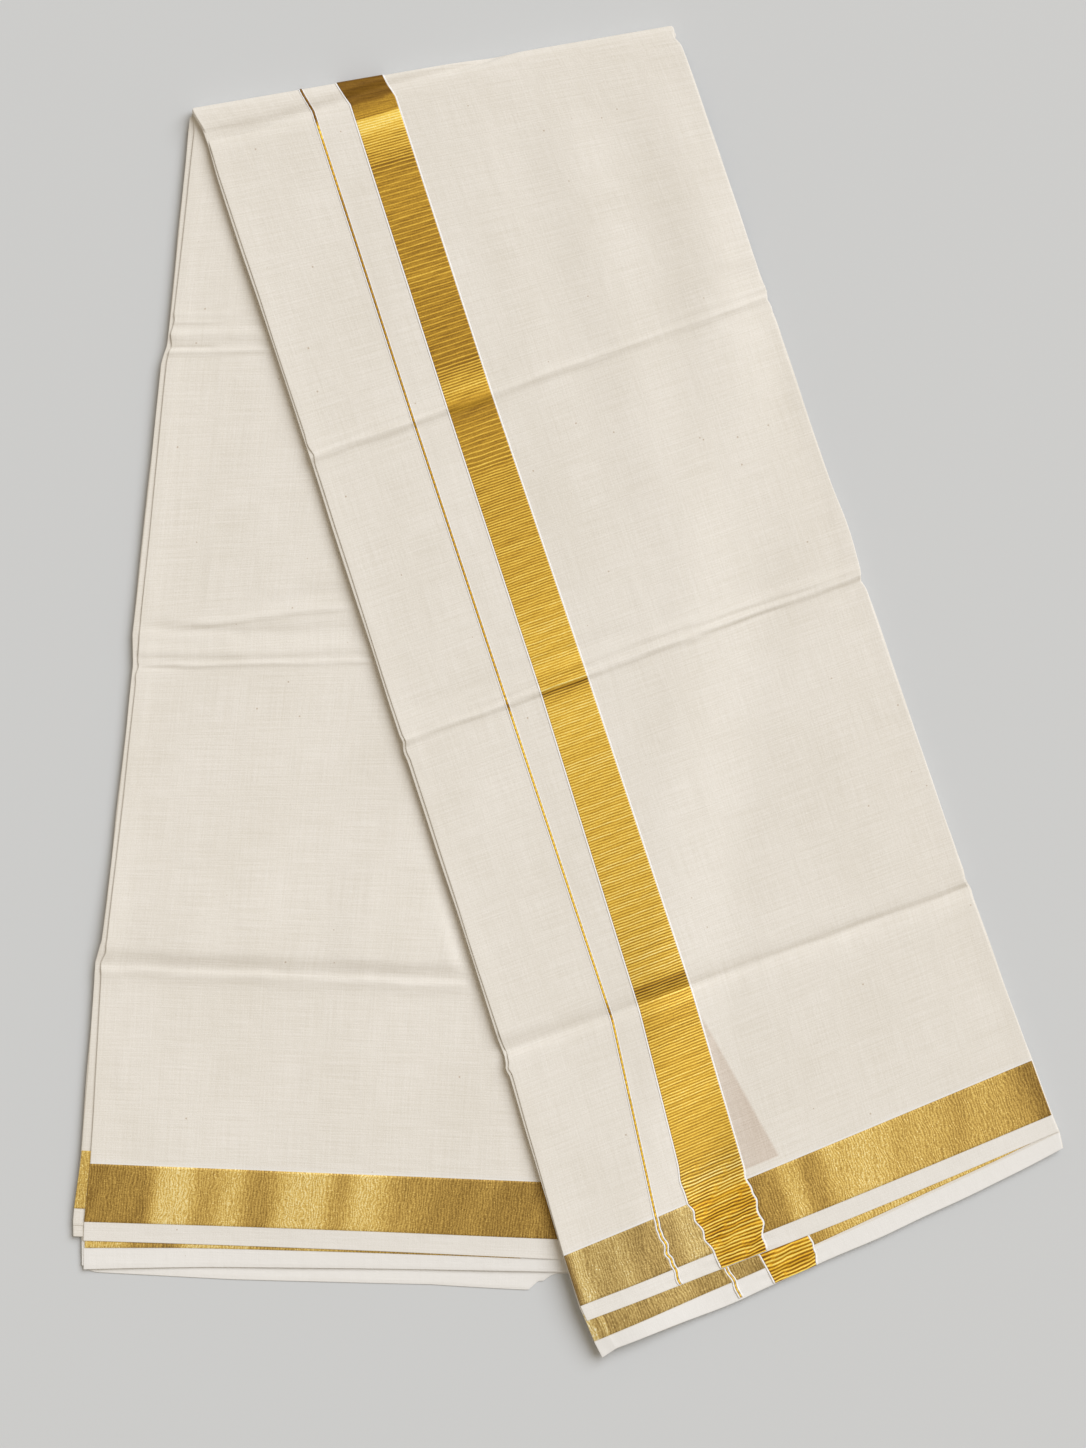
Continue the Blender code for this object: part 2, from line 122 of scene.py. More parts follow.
END_SHARPNESS = 1.6
LONG_CREASE = 250.0  # one longer than this crosses a whole leg, and hardly fades
LONG_END_SHARPNESS = 8.0
RIM_HEIGHT = 0.40  # the stack is thicker by this along its two sides
RIM_REACH = 6.0
BEYOND = 40.0  # the last stretch of a leg carries on straight this far
CREASES_DOWN = (0.0, 157.4, 311.0, 481.7)  # the top fold and the front leg's three ironed creases
PUCKER_HEIGHT = 0.26
PUCKER_PITCH = 5.4
PUCKER_REACH = 13.0  # puckers run this far from the end band's middle, and fade beyond it


def rows_of(kind, *rows):
    """A table of rows of one kind."""
    return tuple(kind(*row) for row in rows)


Station = namedtuple("Station", "name left right thread band_start band_end bow")

FRONT = rows_of(
    Station,
    ("fold_line", (-194.1, 301.4), (55.0, 344.3), 0.225, 0.298, 0.396, 0.0),
    ("fold", (-188.1, 289.8), (59.0, 332.4), 0.229, 0.306, 0.402, 0.0),
    ("crease_1", (-131.8, 121.2), (103.6, 202.9), 0.222, 0.296, 0.394, 0.0),
    ("crease_2", (-84.2, -26.3), (152.2, 58.6), 0.225, 0.297, 0.400, 0.0),
    ("crease_3", (-30.9, -190.8), (207.1, -100.8), 0.227, 0.285, 0.400, 0.0),
    ("border_top", (-2.0, -291.4), (239.9, -191.0), 0.196, 0.264, 0.392, 0.3),
    ("border_low", (6.4, -317.3), (250.4, -219.0), 0.197, 0.282, 0.390, 1.2),
    ("hem", (9.8, -325.1), (254.0, -227.7), 0.198, 0.283, 0.379, 2.0),
    ("second_border_low", (14.2, -336.0), (254.15, -228.1), 0.296, 0.366, 0.465, 2.2),
    ("second_hem", (18.3, -344.2), (256.2, -237.3), 0.298, 0.370, 0.461, 3.0))
SECOND_SHARES = {"thread": 0.294, "band_start": 0.363, "band_end": 0.469}

BackStation = namedtuple("BackStation", "name ledge left right bow")

BACK = rows_of(
    BackStation,
    ("in_fold", (-195.2, 297.9), (-193.5, 297.9), (53.8, 340.2), 0.0),
    ("fold", (-196.2, 289.8), (-193.1, 289.8), (56.5, 332.4), 0.0),
    ("crease_1", (-207.1, 179.1), (-205.3, 179.1), (46.2, 182.7), 0.0),
    ("below_crease_1", (-210.1, 170.3), (-207.4, 170.3), (45.5, 172.0), 0.0),
    ("crease_2", (-225.2, 29.6), (-221.5, 29.6), (34.2, 48.2), 0.0),
    ("lower_crease_2", (-224.8, 13.5), (-222.4, 13.5), (33.3, 18.7), 0.0),
    ("above_crease_3", (-240.6, -128.2), (-238.0, -128.2), (21.5, -136.5), 0.0),
    ("crease_3", (-244.2, -140.1), (-240.9, -140.1), (20.8, -149.0), 0.0),
    ("ledge_border_top", (-251.6, -237.6), (-246.6, -237.8), (13.2, -248.4), 0.0),
    ("border_top", (-252.3, -244.1), (-246.9, -244.3), (12.6, -254.9), 0.0),
    ("ledge_border_low", (-255.4, -267.3), (-249.5, -267.5), (11.0, -277.9), 0.0),
    ("border_low", (-256.0, -274.1), (-250.2, -274.3), (10.5, -284.1), -0.5),
    ("ledge_end", (-255.8, -282.2), (-250.6, -282.4), (9.7, -292.8), -0.6),
    ("hem", (-251.6, -284.2), (-250.7, -284.4), (9.5, -294.9), -0.7),
    ("second_hem", (-251.6, -298.4), (-250.7, -298.6), (8.4, -302.0), -0.6))

# Creases and wrinkles: both ends as (mm from the left edge, mm down the cloth), height at each end (a
# trough where below nought), and how far each side of the line reaches: above is up the cloth, or to the
# right of a line that runs down it.
Crease = namedtuple("Crease", "start end heights above below wander")

FRONT_CREASES = rows_of(
    Crease,
    ((-20, 158.6), (290, 157.2), (0.78, 0.25), 3.6, 1.8, 0.5),
    ((-20, 310.9), (290, 309.9), (0.62, 0.62), 2.4, 1.5, 0.6),
    ((-20, 157.6), (290, 156.2), (0.24, 0.18), 0.8, 0.7, 0.5),
    ((-20, 309.9), (290, 308.9), (0.24, 0.26), 0.8, 0.7, 0.6),
    ((-20, 476.4), (290, 483.4), (-1.15, -0.10), 5.0, 3.0, 0.4),
    ((-20, 476.4), (290, 483.4), (-0.10, -1.20), 1.9, 7.0, 0.4),
    ((-16, 4.8), (70, -1.0), (-1.05, -0.95), 2.4, 3.8, 0.3),
    ((44, 1.0), (176, -14.4), (-0.90, -1.05), 2.2, 3.6, 0.3))
FRONT_WRINKLES = rows_of(
    Crease,
    ((-12, 153.6), (112, 152.8), (0.30, 0.22), 2.6, 1.0, 0.4),
    ((148, 151.0), (275, 151.4), (0.16, 0.30), 2.0, 1.0, 0.3),
    ((-12, 308.2), (142, 302.4), (0.24, 0.24), 3.0, 1.0, 0.4),
    ((108, 302.6), (280, 307.6), (0.24, 0.55), 3.4, 1.0, 0.4),
    ((138, 310.4), (228, 312.0), (-0.26, -0.26), 1.2, 1.1, 0.3),
    ((-10, 296.0), (150, 295.0), (-0.22, -0.30), 3.0, 4.0, 0.8),
    ((137.3, 4.0), (139.4, 420.0), (0.12, 0.12), 0.7, 0.7, 0.2),
    ((63.0, 10.0), (64.5, 600.0), (0.08, 0.08), 0.7, 0.7, 0.2),
    ((206.0, 211.0), (258.0, 191.5), (0.30, 0.26), 1.0, 1.6, 0.3),
    ((226.0, 128.0), (262.0, 133.0), (0.30, 0.34), 1.2, 2.0, 0.3),
    ((228.0, 139.0), (264.0, 143.0), (-0.30, -0.34), 1.4, 1.8, 0.3),
    ((228.0, 319.0), (264.0, 308.5), (-0.24, -0.24), 1.5, 1.5, 0.3),
    ((-6.0, 468.0), (30.0, 470.0), (0.26, 0.2), 1.4, 2.0, 0.3),
    ((66.0, 490.0), (69.5, 560.0), (0.14, 0.14), 0.8, 0.8, 0.3),
    ((52.0, 500.0), (66.0, 575.0), (0.10, 0.10), 0.8, 0.8, 0.3))
SECOND_WRINKLES = (
    Crease((5.5, 608.0), (9.6, 644.0), (0.15, 0.17), 1.6, 3.4, 0.2),
)
BACK_CREASES = rows_of(
    Crease,
    ((-20, 449.3), (280, 451.8), (1.35, 1.20), 42.0, 6.4, 0.6),
    ((-20, 461.2), (280, 464.0), (0.50, 0.60), 1.5, 4.2, 0.6))
BACK_WRINKLES = rows_of(
    Crease,
    ((-12, 112.0), (36, 114.0), (0.34, 0.24), 1.6, 1.1, 0.3),
    ((-12, 116.7), (30, 117.6), (0.32, 0.26), 1.5, 0.9, 0.3),
    ((-12, 124.6), (62, 125.4), (0.42, 0.30), 3.0, 3.4, 0.5),
    ((-12, 132.6), (26, 132.8), (-0.34, -0.30), 1.2, 0.9, 0.2),
    ((-12, 135.6), (66, 134.2), (0.34, 0.26), 1.7, 1.0, 0.3),
    ((-6, 269.0), (62, 277.8), (-0.34, -0.34), 3.2, 3.6, 0.6),
    ((40, 277.6), (122, 279.0), (-0.34, -0.30), 3.4, 6.0, 0.6),
    ((14, 272.0), (118, 266.6), (0.40, 0.42), 2.4, 1.5, 0.6),
    ((-10, 287.6), (60, 291.6), (0.26, 0.36), 5.0, 1.1, 0.4),
    ((36, 291.8), (150, 291.0), (0.36, 0.20), 6.5, 0.9, 0.4),
    ((-20, 297.2), (260, 296.8), (0.36, 0.26), 1.7, 0.9, 0.3),
    ((-12, 296.4), (26, 298.4), (-0.36, -0.30), 1.6, 1.2, 0.3),
    ((78, 251.0), (106, 243.5), (0.26, 0.26), 1.4, 1.8, 0.4),
    ((56, 262.4), (112, 257.0), (-0.24, -0.28), 2.2, 2.6, 0.4),
    ((25.5, 56.0), (36.0, 300.0), (0.14, 0.14), 0.8, 0.8, 0.3),
    ((46.8, 158.0), (48.0, 188.0), (0.14, 0.14), 0.8, 0.8, 0.2),
    ((10.0, 456.0), (14.5, 532.0), (0.16, 0.16), 0.9, 0.9, 0.2),
    ((132.5, 380.0), (138.6, 540.0), (0.12, 0.12), 0.9, 0.9, 0.3),
    ((4.5, 10.0), (3.5, 440.0), (0.14, 0.14), 1.0, 1.0, 0.2))


def mix(start, end, share):
    return start + (end - start) * share


def smooth_step(value):
    value = np.clip(value, 0.0, 1.0)
    return value * value * (3.0 - 2.0 * value)


def ripple(along, reach, seed):
    """A smooth uneven wave between about -1 and 1; reach is the length of its longest swell in mm."""
    draw = np.random.RandomState(seed)
    total = 0.0
    for part in (1.0, 1.9, 3.3):
        total = total + np.sin(TURN * along * part / reach + draw.uniform(0.0, 6.3)) / part
    return total / 1.8


def crease_height(creases, across, down):
    """Height of a table of creases at distances across and down the cloth."""
    height = np.zeros(np.broadcast(across, down).shape)
    for number, crease in enumerate(creases):
        (u0, v0), (u1, v1) = crease.start, crease.end
        length = math.hypot(u1 - u0, v1 - v0)
        along = ((across - u0) * (u1 - u0) + (down - v0) * (v1 - v0)) / length
        away = ((down - v0) * (u1 - u0) - (across - u0) * (v1 - v0)) / length
        away = away + crease.wander * ripple(along, 55.0, number)
        side = np.where(away < 0.0, crease.above, crease.below)
        fade = CREASE_ENDS * length
        ends = smooth_step(along / fade) * smooth_step((length - along) / fade)
        sharpness = LONG_END_SHARPNESS if length > LONG_CREASE else END_SHARPNESS
        ends = np.minimum(1.0, ends * sharpness)
        strength = 1.0 + 0.28 * ripple(along, 90.0, number + 40)
        size = mix(*crease.heights, np.clip(along / length, 0.0, 1.0))
        height += CREASE_GAIN * size * strength * ends * np.exp(-(away / side) ** 2)
    return height


def beyond_line(points, line):
    """Distance of points to the right of a line that runs down the cloth."""
    (x0, y0), (x1, y1) = line
    length = math.hypot(x1 - x0, y1 - y0)
    return ((points[:, 0] - x0) * (y0 - y1) + (points[:, 1] - y0) * (x1 - x0)) / length


class Leg:
    """One leg of the strip. Every method takes and gives arrays, one value for each point."""

    def __init__(self, stations):
        first = stations[[station.name for station in stations].index("fold")]
        table = {field: np.array([getattr(station, field) for station in stations], float)
                 for field in first._fields[1:]}
        middle = (table["left"] + table["right"]) / 2.0
        steps = np.hypot(*np.diff(middle, axis=0).T)
        downs = np.concatenate(([0.0], np.cumsum(steps)))
        downs -= downs[stations.index(first)]
        self.down_at = {station.name: down for station, down in zip(stations, downs)}
        self.downs = np.append(downs, downs[-1] + BEYOND)
        self.table = {}
        for field, values in table.items():
            further = values[-1] + (values[-1] - values[-2]) * BEYOND / steps[-1]
            self.table[field] = np.concatenate((values, [further]))

    def read(self, field, down):
        values = self.table[field]
        if values.ndim == 1:
            return np.interp(down, self.downs, values)
        return np.stack([np.interp(down, self.downs, values[:, axis]) for axis in (0, 1)], axis=-1)

    def width(self, down):
        return np.hypot(*(self.read("right", down) - self.read("left", down)).T)

    def line_down(self, down):
        """Where a line's share across is read."""
        return down

    def on_line(self, across, down):
        left = self.read("left", down)
        line = self.read("right", down) - left
        bow = self.read("bow", down) * np.sin(math.pi * np.clip(across, 0.0, 1.0))
        aside = np.stack((line[:, 1], -line[:, 0]), axis=-1) / np.hypot(*line.T)[:, None]
        return left + line * across[:, None] + aside * bow[:, None]

    def rims(self, across, down):
        """The stack is a little thicker along its two sides, where its plies turn over."""
        width = self.width(self.line_down(down))
        near = np.exp(-(across * width / RIM_REACH) ** 2) + np.exp(-((1.0 - across) * width / RIM_REACH) ** 2)
        return RIM_HEIGHT * near * (0.8 + 0.3 * ripple(down, 140.0, 91))

    def puckers(self, across, down):
        return 0.0 * down

    def relief(self, across, down, whole=1.0, wrinkled=True):
        """What creases, swells and wrinkles add; whole is the share of the creases that reaches a level."""
        share = across / self.width(self.line_down(down))
        height = whole * (self.main_relief(share, down) + self.swell(share, down))
        if wrinkled:
            height = height + crease_height(self.wrinkles, across, down) + self.puckers(across, down)
        return height

    def place(self, across, down, level, relief):
        return self.point(across / self.width(self.line_down(down)), down, level, relief)


class FrontLeg(Leg):
    """The upper leg. It rolls over the top fold and comes down to the floor on the right."""

    back_of_fold = np.array(((-196.6, 289.8), (56.5, 332.4)))
    creases = FRONT_CREASES
    wrinkles = FRONT_WRINKLES
    crossing = (574.0, 635.0)      # the end band draws the cloth together between these

    def line_down(self, down):
        """Where a line's share across is read: the fold repeats the stretch up to the fold line."""
        turned = np.sin(np.clip(-down / FOLD_ARC, 0.0, 1.0) * math.pi)
        return np.where(down < 0.0, FOLD_LINE_DOWN * turned, down)

    def base(self, points):
        beside = beyond_line(points, BACK_SIDE_LINE) - SIDE_MARGIN
        below = BACK_HEM_Y - points[:, 1] - HEM_MARGIN
        return LIFT * (1.0 - smooth_step(beside / DROP_RUN)) * (1.0 - smooth_step(below / DROP_RUN))

    def swell(self, across, down):
        """Soft lengthwise waves in the upper half of the leg's right side, between its creases."""
        place = np.interp(down, CREASES_DOWN, (1.0, 2.0, 3.0, 4.0))
        right = smooth_step((across - 0.45) / 0.25) * smooth_step((place - 1.0) / 0.35)
        right = right * (1.0 - smooth_step((place - 2.2) / 1.0))
        waves = 0.60 * right * np.sin(across * 27.0 + place * 1.1)
        return waves + self.rims(across, down) * smooth_step((down + 6.0) / 20.0)

    def main_relief(self, across, down):
        return crease_height(self.creases, across * self.width(self.line_down(down)), down)

    def puckers(self, across, down):
        """The end band draws the cloth into small cross waves where it passes the border and the hem."""
        start, end = self.crossing
        along = smooth_step((down - start) / 8.0) * smooth_step((end - down) / 8.0)
        read = self.line_down(down)
        width = self.width(read)
        middle = 0.5 * width * (self.read("band_start", read) + self.read("band_end", read))
        thread = self.read("thread", read) * width
        near_band = np.exp(-(np.maximum(0.0, np.abs(across - middle) - PUCKER_REACH) / 5.0) ** 2)
        near_thread = 0.5 * np.exp(-((across - thread) / 4.0) ** 2)
        waves = np.sin(TURN * (down + 0.05 * across) / PUCKER_PITCH + 1.2 * ripple(across, 40.0, 61))
        return PUCKER_HEIGHT * along * np.maximum(near_band, near_thread) * waves

    def point(self, across, down, level, relief):
        flat = self.on_line(across, np.maximum(down, 0.0))
        height = self.base(flat) + level + relief
        turned, turned_height = self.turn(across, down, level + relief)
        folded = down < 0.0
        return np.column_stack((np.where(folded[:, None], turned, flat),
                                np.where(folded, turned_height, height)))

    def turn(self, across, down, level):
        """Points of the top fold, whose levels turn over as squared half rounds inside each other."""
        angle = np.clip(-down / FOLD_ARC, 0.0, 1.0) * math.pi
        upright = np.sign(np.cos(angle)) * (1.0 - np.sin(angle) ** FOLD_SQUARE) ** (1.0 / FOLD_SQUARE)
        middle = 0.5 * STACK_HEIGHT
        height = LIFT + level
        reach = 1.0 - (STACK_HEIGHT - height) / FOLD_DEPTH
        pressed = FOLD_PRESSED * smooth_step(4.0 * angle / math.pi - 2.0)
        height = height + pressed * np.clip((STACK_HEIGHT - height) / middle, 0.0, 1.0)
        lower = (0.5 - 0.5 * np.cos(angle))[:, None]
        zero = np.zeros_like(down)
        back = mix(self.back_of_fold[0], self.back_of_fold[1], across[:, None])
        centre = mix(self.on_line(across, zero), back, lower)
        line = self.on_line(across, zero + FOLD_LINE_DOWN)
        return (mix(centre, line, (reach * np.sin(angle))[:, None]),
                middle + (height - middle) * upright)


class SecondLeg(FrontLeg):
    """The upper leg's second ply, whose own gold lies a little further to the right."""

    wrinkles = SECOND_WRINKLES
    crossing = (615.0, 650.0)


class BackLeg(Leg):
    """The lower leg. It lies flat on the floor under the front leg."""

    creases = BACK_CREASES
    wrinkles = BACK_WRINKLES
    front_edge = (FRONT[1].left, FRONT[6].left)

    def swell(self, across, down):
        waves = 0.28 * np.sin(across * 17.0 + down * 0.011) * smooth_step(down / 60.0)
        return self.rims(across, down) + waves

    def main_relief(self, across, down):
        away = -beyond_line(self.on_line(across, down), self.front_edge)
        fade = smooth_step((away - FADE_END) / (FADE_START - FADE_END))
        return fade * crease_height(self.creases, across * self.width(down), down)

    def point(self, across, down, level, relief):
        taper = 1.0 - HEM_TAPER * smooth_step((down - self.down_at["hem"] + TAPER_ABOVE) / TAPER_RUN)
        return np.column_stack((self.on_line(across, down), (level + relief) * taper))


FRONT_LEG = FrontLeg(FRONT)
SECOND_LEG = SecondLeg(tuple(station._replace(**SECOND_SHARES) if station.name == "hem" else station
                            for station in FRONT))
BACK_LEG = BackLeg(BACK)


# ---------------------------------------------------------------- outlines along and across a leg

# A small step of an edge: how far down the cloth it lies, how far it stands out and half its length
Kink = namedtuple("Kink", "down out half")

FACE_LEFT_KINKS = rows_of(
    Kink,
    (151.0, 0.5, 3.0), (157.4, -0.9, 2.5), (316.0, 0.6, 3.0), (310.5, -0.6, 2.2), (478.0, -0.5, 3.0),
    (485.5, 1.0, 2.0), (8.0, -0.6, 9.0))
FOLD_LEFT_KINKS = (Kink(-14.5, -1.0, 2.6),)
RIGHT_KINKS = rows_of(
    Kink,
    (143.0, -0.5, 2.5), (150.0, 0.7, 2.5), (157.4, -0.8, 2.0), (166.0, -0.5, 2.0), (285.0, 1.6, 20.0),
    (312.0, -1.4, 3.0), (478.0, -0.6, 3.0), (484.0, 0.6, 3.0), (-14.5, -1.5, 3.0), (-14.5, -0.9, 9.0),
    (-5.2, -2.0, 2.8))
BACK_LEFT_KINKS = rows_of(
    Kink,
    (116.0, -0.6, 3.0), (124.0, 0.5, 2.5), (131.0, -0.5, 2.5), (297.0, -0.5, 2.5), (302.0, 0.5, 2.5),
    (452.0, -0.9, 3.0), (459.0, 0.6, 3.0))
BAND_START_KINKS = rows_of(
    Kink,
    (570.0, -1.0, 5.0), (586.2, 1.1, 2.6), (591.6, -0.7, 2.4), (597.4, 0.6, 2.4), (602.8, -1.0, 2.6),
    (609.0, 0.4, 2.4))
BAND_END_KINKS = rows_of(
    Kink,
    (581.0, -0.9, 3.0), (587.0, 0.4, 2.0), (593.4, 1.1, 2.8), (599.2, -0.3, 2.0), (605.2, 1.0, 2.6),
    (611.6, -1.7, 3.2))
THREAD_KINKS = rows_of(
    Kink,
    (588.0, -0.7, 2.6), (592.6, -0.6, 2.4), (597.0, 0.5, 2.2), (601.8, -0.9, 2.2), (605.2, 0.5, 2.2),
    (611.5, 0.9, 2.6), (617.0, -0.3, 2.4))
SECOND_BAND_END_KINKS = rows_of(Kink, (619.5, -0.6, 2.0), (624.0, 0.7, 2.0), (629.0, 0.9, 2.4))
SECOND_THREAD_KINKS = rows_of(Kink, (621.0, -0.5, 1.8), (625.0, 0.5, 1.8), (629.5, -0.3, 2.0))


def kinked(kinks, down):
    return sum((kink.out * np.exp(-((down - kink.down) / kink.half) ** 2) for kink in kinks), 0.0 * down)


def left_edge(reach, uneven=0.0, seed=0, kinks=()):
    """A ply's left edge in mm from the leg's own: reach is how far out it lies."""
    def at(leg, down):
        out = reach(down) if callable(reach) else reach
        return -(out + uneven * ripple(down, 150.0, seed) + kinked(kinks, down))
    return at


def right_edge(reach, uneven=0.0, seed=0, kinks=()):
    """A ply's right edge in mm from the leg's left one: reach is how far it lies beyond the leg's own."""
    def at(leg, down):
        out = reach + uneven * ripple(down, 150.0, seed) + kinked(kinks, down)
        return leg.width(leg.line_down(down)) + out
    return at


def woven_line(field, aside=0.0, kinks=()):
    """A line down the cloth at a station's share of the width, moved aside by some mm."""
    def at(leg, down):
        read = leg.line_down(down)
        return leg.read(field, read) * leg.width(read) + aside + kinked(kinks, down)
    return at


def fixed_line(across):
    return lambda leg, down: across + 0.0 * down


def moved(line, aside):
    """A line that follows another at some mm to its right."""
    return lambda leg, down: line(leg, down) + aside


def from_table(*rows):
    """A function that reads a short table of (place, value)."""
    places, values = zip(*rows)
    return lambda place: np.interp(place, places, values)


def stops_down(start, end, fine, coarse, spots, reach=16.0):
    """Distances down the cloth for the rows of a sheet, closer together near some spots."""
    stops = [start]
    while stops[-1] < end - 0.5 * fine:
        near = min(abs(stops[-1] - spot) for spot in spots)
        stops.append(min(end, stops[-1] + mix(fine, coarse, min(1.0, near / reach))))
    return np.array(stops)


def rows_down(start, end, step):
    """Distances down the cloth for the rows of a gold strip or a thread, all alike."""
    return np.arange(start, end + 0.5 * step, step)


def shares_across(count, rim=0.006):
    """Shares for the columns of a sheet: even, but for two narrow ones within the rim at each side."""
    return np.concatenate(([0.0, 0.5 * rim], np.linspace(rim, 1.0 - rim, count - 4), [1.0 - 0.5 * rim, 1.0]))


FACE_LEFT = left_edge(0.0, 0.25, 1, FACE_LEFT_KINKS + FOLD_LEFT_KINKS)
FACE_RIGHT = right_edge(0.0, 0.2, 2, RIGHT_KINKS)
SECOND_LEFT = left_edge(from_table((-30, 0.4), (30, 1.2), (250, 1.6), (480, 1.4), (600, 0.5)), 0.25, 4,
                        FACE_LEFT_KINKS[2:] + FOLD_LEFT_KINKS)
BACK_FACE_LEFT = left_edge(0.0, 0.15, 31, BACK_LEFT_KINKS)


# ---------------------------------------------------------------- meshes

WELD = 0.002 * MM
TWIST_PITCH = 2.6  # a thread turns once in this length
THREAD_CONTRAST = 0.24
THREAD_TIP = 0.35  # a thread's ends narrow to this share of its size
HEM_TAIL = 25.0  # the last rows stretch over this length to the hem's own line
DROOP_RUN = 14.0  # a hem droops over this length

Ring = namedtuple("Ring", "level side layer")


def rounded_rings(low, thick, steps=4):
    """Rings down the edge of one ply, as a half round."""
    angles = [math.pi * step / steps for step in range(steps + 1)]
    half = 0.5 * thick
    return [Ring(low + half + half * math.cos(angle), half * (math.sin(angle) - 1.0), 0) for angle in angles]


def layered_rings(low, top, layers, groove):
    """Rings down the edge of many pressed plies: a half round for each fold, with a groove between."""
    depth = (top - low) / layers
    rings = []
    for layer in range(layers):
        upper = top - layer * depth
        for share, tuck in ((0.02, 1.0), (0.2, 0.3), (0.5, 0.0), (0.8, 0.3)):
            rings.append(Ring(upper - share * depth, -groove * tuck, layer))
    rings.append(Ring(low, -groove, layers - 1))
    return rings


def link_mesh(name, mesh, finish):
    data = bpy.data.meshes.new(name)
    mesh.to_mesh(data)
    mesh.free()
    data.materials.append(finish)
    piece = bpy.data.objects.new(name, data)
    bpy.context.scene.collection.objects.link(piece)
    return piece


def make_piece(name, mesh, finish):
    """A finished piece, with its faces turned outwards."""
    bmesh.ops.recalc_face_normals(mesh, faces=mesh.faces)
    piece = link_mesh(name, mesh, finish)
    piece.data.shade_smooth()
    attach(piece, "root")
    return piece


def only(kind, items):
    return [item for item in items if isinstance(item, kind)]


def numbered_grid(words, across, down):
    """A flat grid whose points carry a whole number for each word; the first two say column and row."""
    mesh = bmesh.new()
    for word in words:
        mesh.verts.layers.int.new(word)
    mesh.verts.layers.float_vector.new("cloth")
    mesh.verts.layers.float.new("tone")
    column_of, row_of = (mesh.verts.layers.int[word] for word in words[:2])
    bmesh.ops.create_grid(mesh, x_segments=across, y_segments=down, size=1.0)
    for vert in mesh.verts:
        vert[column_of] = round((vert.co.x + 1.0) / 2.0 * across)
        vert[row_of] = round((1.0 - vert.co.y) / 2.0 * down)
    return mesh


def set_points(mesh, words, place):
    """Moves every point to its place on the lattice, and stores its cloth coordinates and its tone."""
    cloth_of = mesh.verts.layers.float_vector["cloth"]
    tone_of = mesh.verts.layers.float["tone"]
    numbers = [mesh.verts.layers.int[word] for word in words]
    verts = mesh.verts[:]
    counts = [np.array([vert[number] for vert in verts]) for number in numbers]
    points, across, down, tone = place(*counts)
    points[:, 0] -= FOOTPRINT_MIDDLE[0]
    points[:, 1] -= FOOTPRINT_MIDDLE[1]
    for vert, point, u, v, shade in zip(verts, points * MM, across, down, tone):
        vert.co = point
        vert[cloth_of] = (u, v, 0.0)
        vert[tone_of] = shade
    for word in words:
        mesh.verts.layers.int.remove(mesh.verts.layers.int[word])
    bmesh.ops.remove_doubles(mesh, verts=mesh.verts, dist=WELD)


def closed_slab(columns, rows, rings, place):
    """A closed slab: a grid on top, rings down its edge and a grid below, put in place point by point."""
    words = ("column", "row", "ring")
    mesh = numbered_grid(words, columns - 1, rows - 1)
    ring_of = mesh.verts.layers.int["ring"]
    top_faces = mesh.faces[:]
    edges = [edge for edge in mesh.edges if edge.is_boundary]
    for ring in range(1, rings):
        wall = bmesh.ops.extrude_edge_only(mesh, edges=edges)["geom"]
        for vert in only(bmesh.types.BMVert, wall):
            vert[ring_of] = ring
        edges = [edge for edge in only(bmesh.types.BMEdge, wall) if edge.is_boundary]
    below = bmesh.ops.duplicate(mesh, geom=top_faces)["geom"]
    for vert in only(bmesh.types.BMVert, below):
        vert[ring_of] = rings - 1
    bmesh.ops.reverse_faces(mesh, faces=only(bmesh.types.BMFace, below))
    set_points(mesh, words, place)
    return mesh


def add_sheet(name, leg, left, right, shares, downs, rings, finish, hem=None, droop=0.0, uneven=0.0,
              wrinkled=True, raised=None, tone=None, seed=0):
    """One sheet of cloth or gold on a leg's lattice.

    left and right are its edges; hem says how much further down than its last row it reaches; droop is
    how far its hem sinks; uneven is how much the folds of a layered edge differ; raised adds height to
    its upper side, and tone stores how bright its gold is painted, painted highlights and shade included.
    """
    levels = np.array([ring.level for ring in rings])
    tucks = np.array([ring.side for ring in rings])
    layers = np.array([ring.layer for ring in rings])
    end = downs[-1]

    def place(column, row, ring):
        share = shares[column]
        down = downs[row]
        if hem is not None:
            down = down + hem(share) * smooth_step((down - end + HEM_TAIL) / HEM_TAIL)
        loose = uneven * ripple(down + 40.0 * layers[ring], 110.0, seed + 3)
        loose = loose + uneven * ripple(37.0 * layers[ring] + 0.0 * down, 50.0, seed + 9)
        rim = tucks[ring] + loose
        hem_loose = ripple(share * 260.0 + 90.0 * layers[ring], 160.0, seed + 5) - 1.0
        down = down + np.where(row == len(downs) - 1, tucks[ring] + uneven * hem_loose, 0.0)
        down = down - np.where((row == 0) & (down > -FOLD_ARC), tucks[ring], 0.0)
        across = mix(left(leg, down), right(leg, down), share)
        across = across + np.where(column == len(shares) - 1, rim, 0.0) - np.where(column == 0, rim, 0.0)
        level = levels[ring] - droop * smooth_step((down - end + DROOP_RUN) / DROOP_RUN)
        relief = leg.relief(across, down, np.minimum(1.0, levels[ring] / FULL_RELIEF), wrinkled)
        if raised is not None:
            upper = np.clip((levels[ring] - levels[-1]) / (levels[0] - levels[-1]), 0.0, 1.0)
            relief = relief + raised(across, down) * upper
        shade = tone(across, down) if tone is not None else 0.0 * down
        return leg.place(across, down, level, relief), across, down, shade

    return make_piece(name, closed_slab(len(shares), len(downs), len(rings), place), finish)


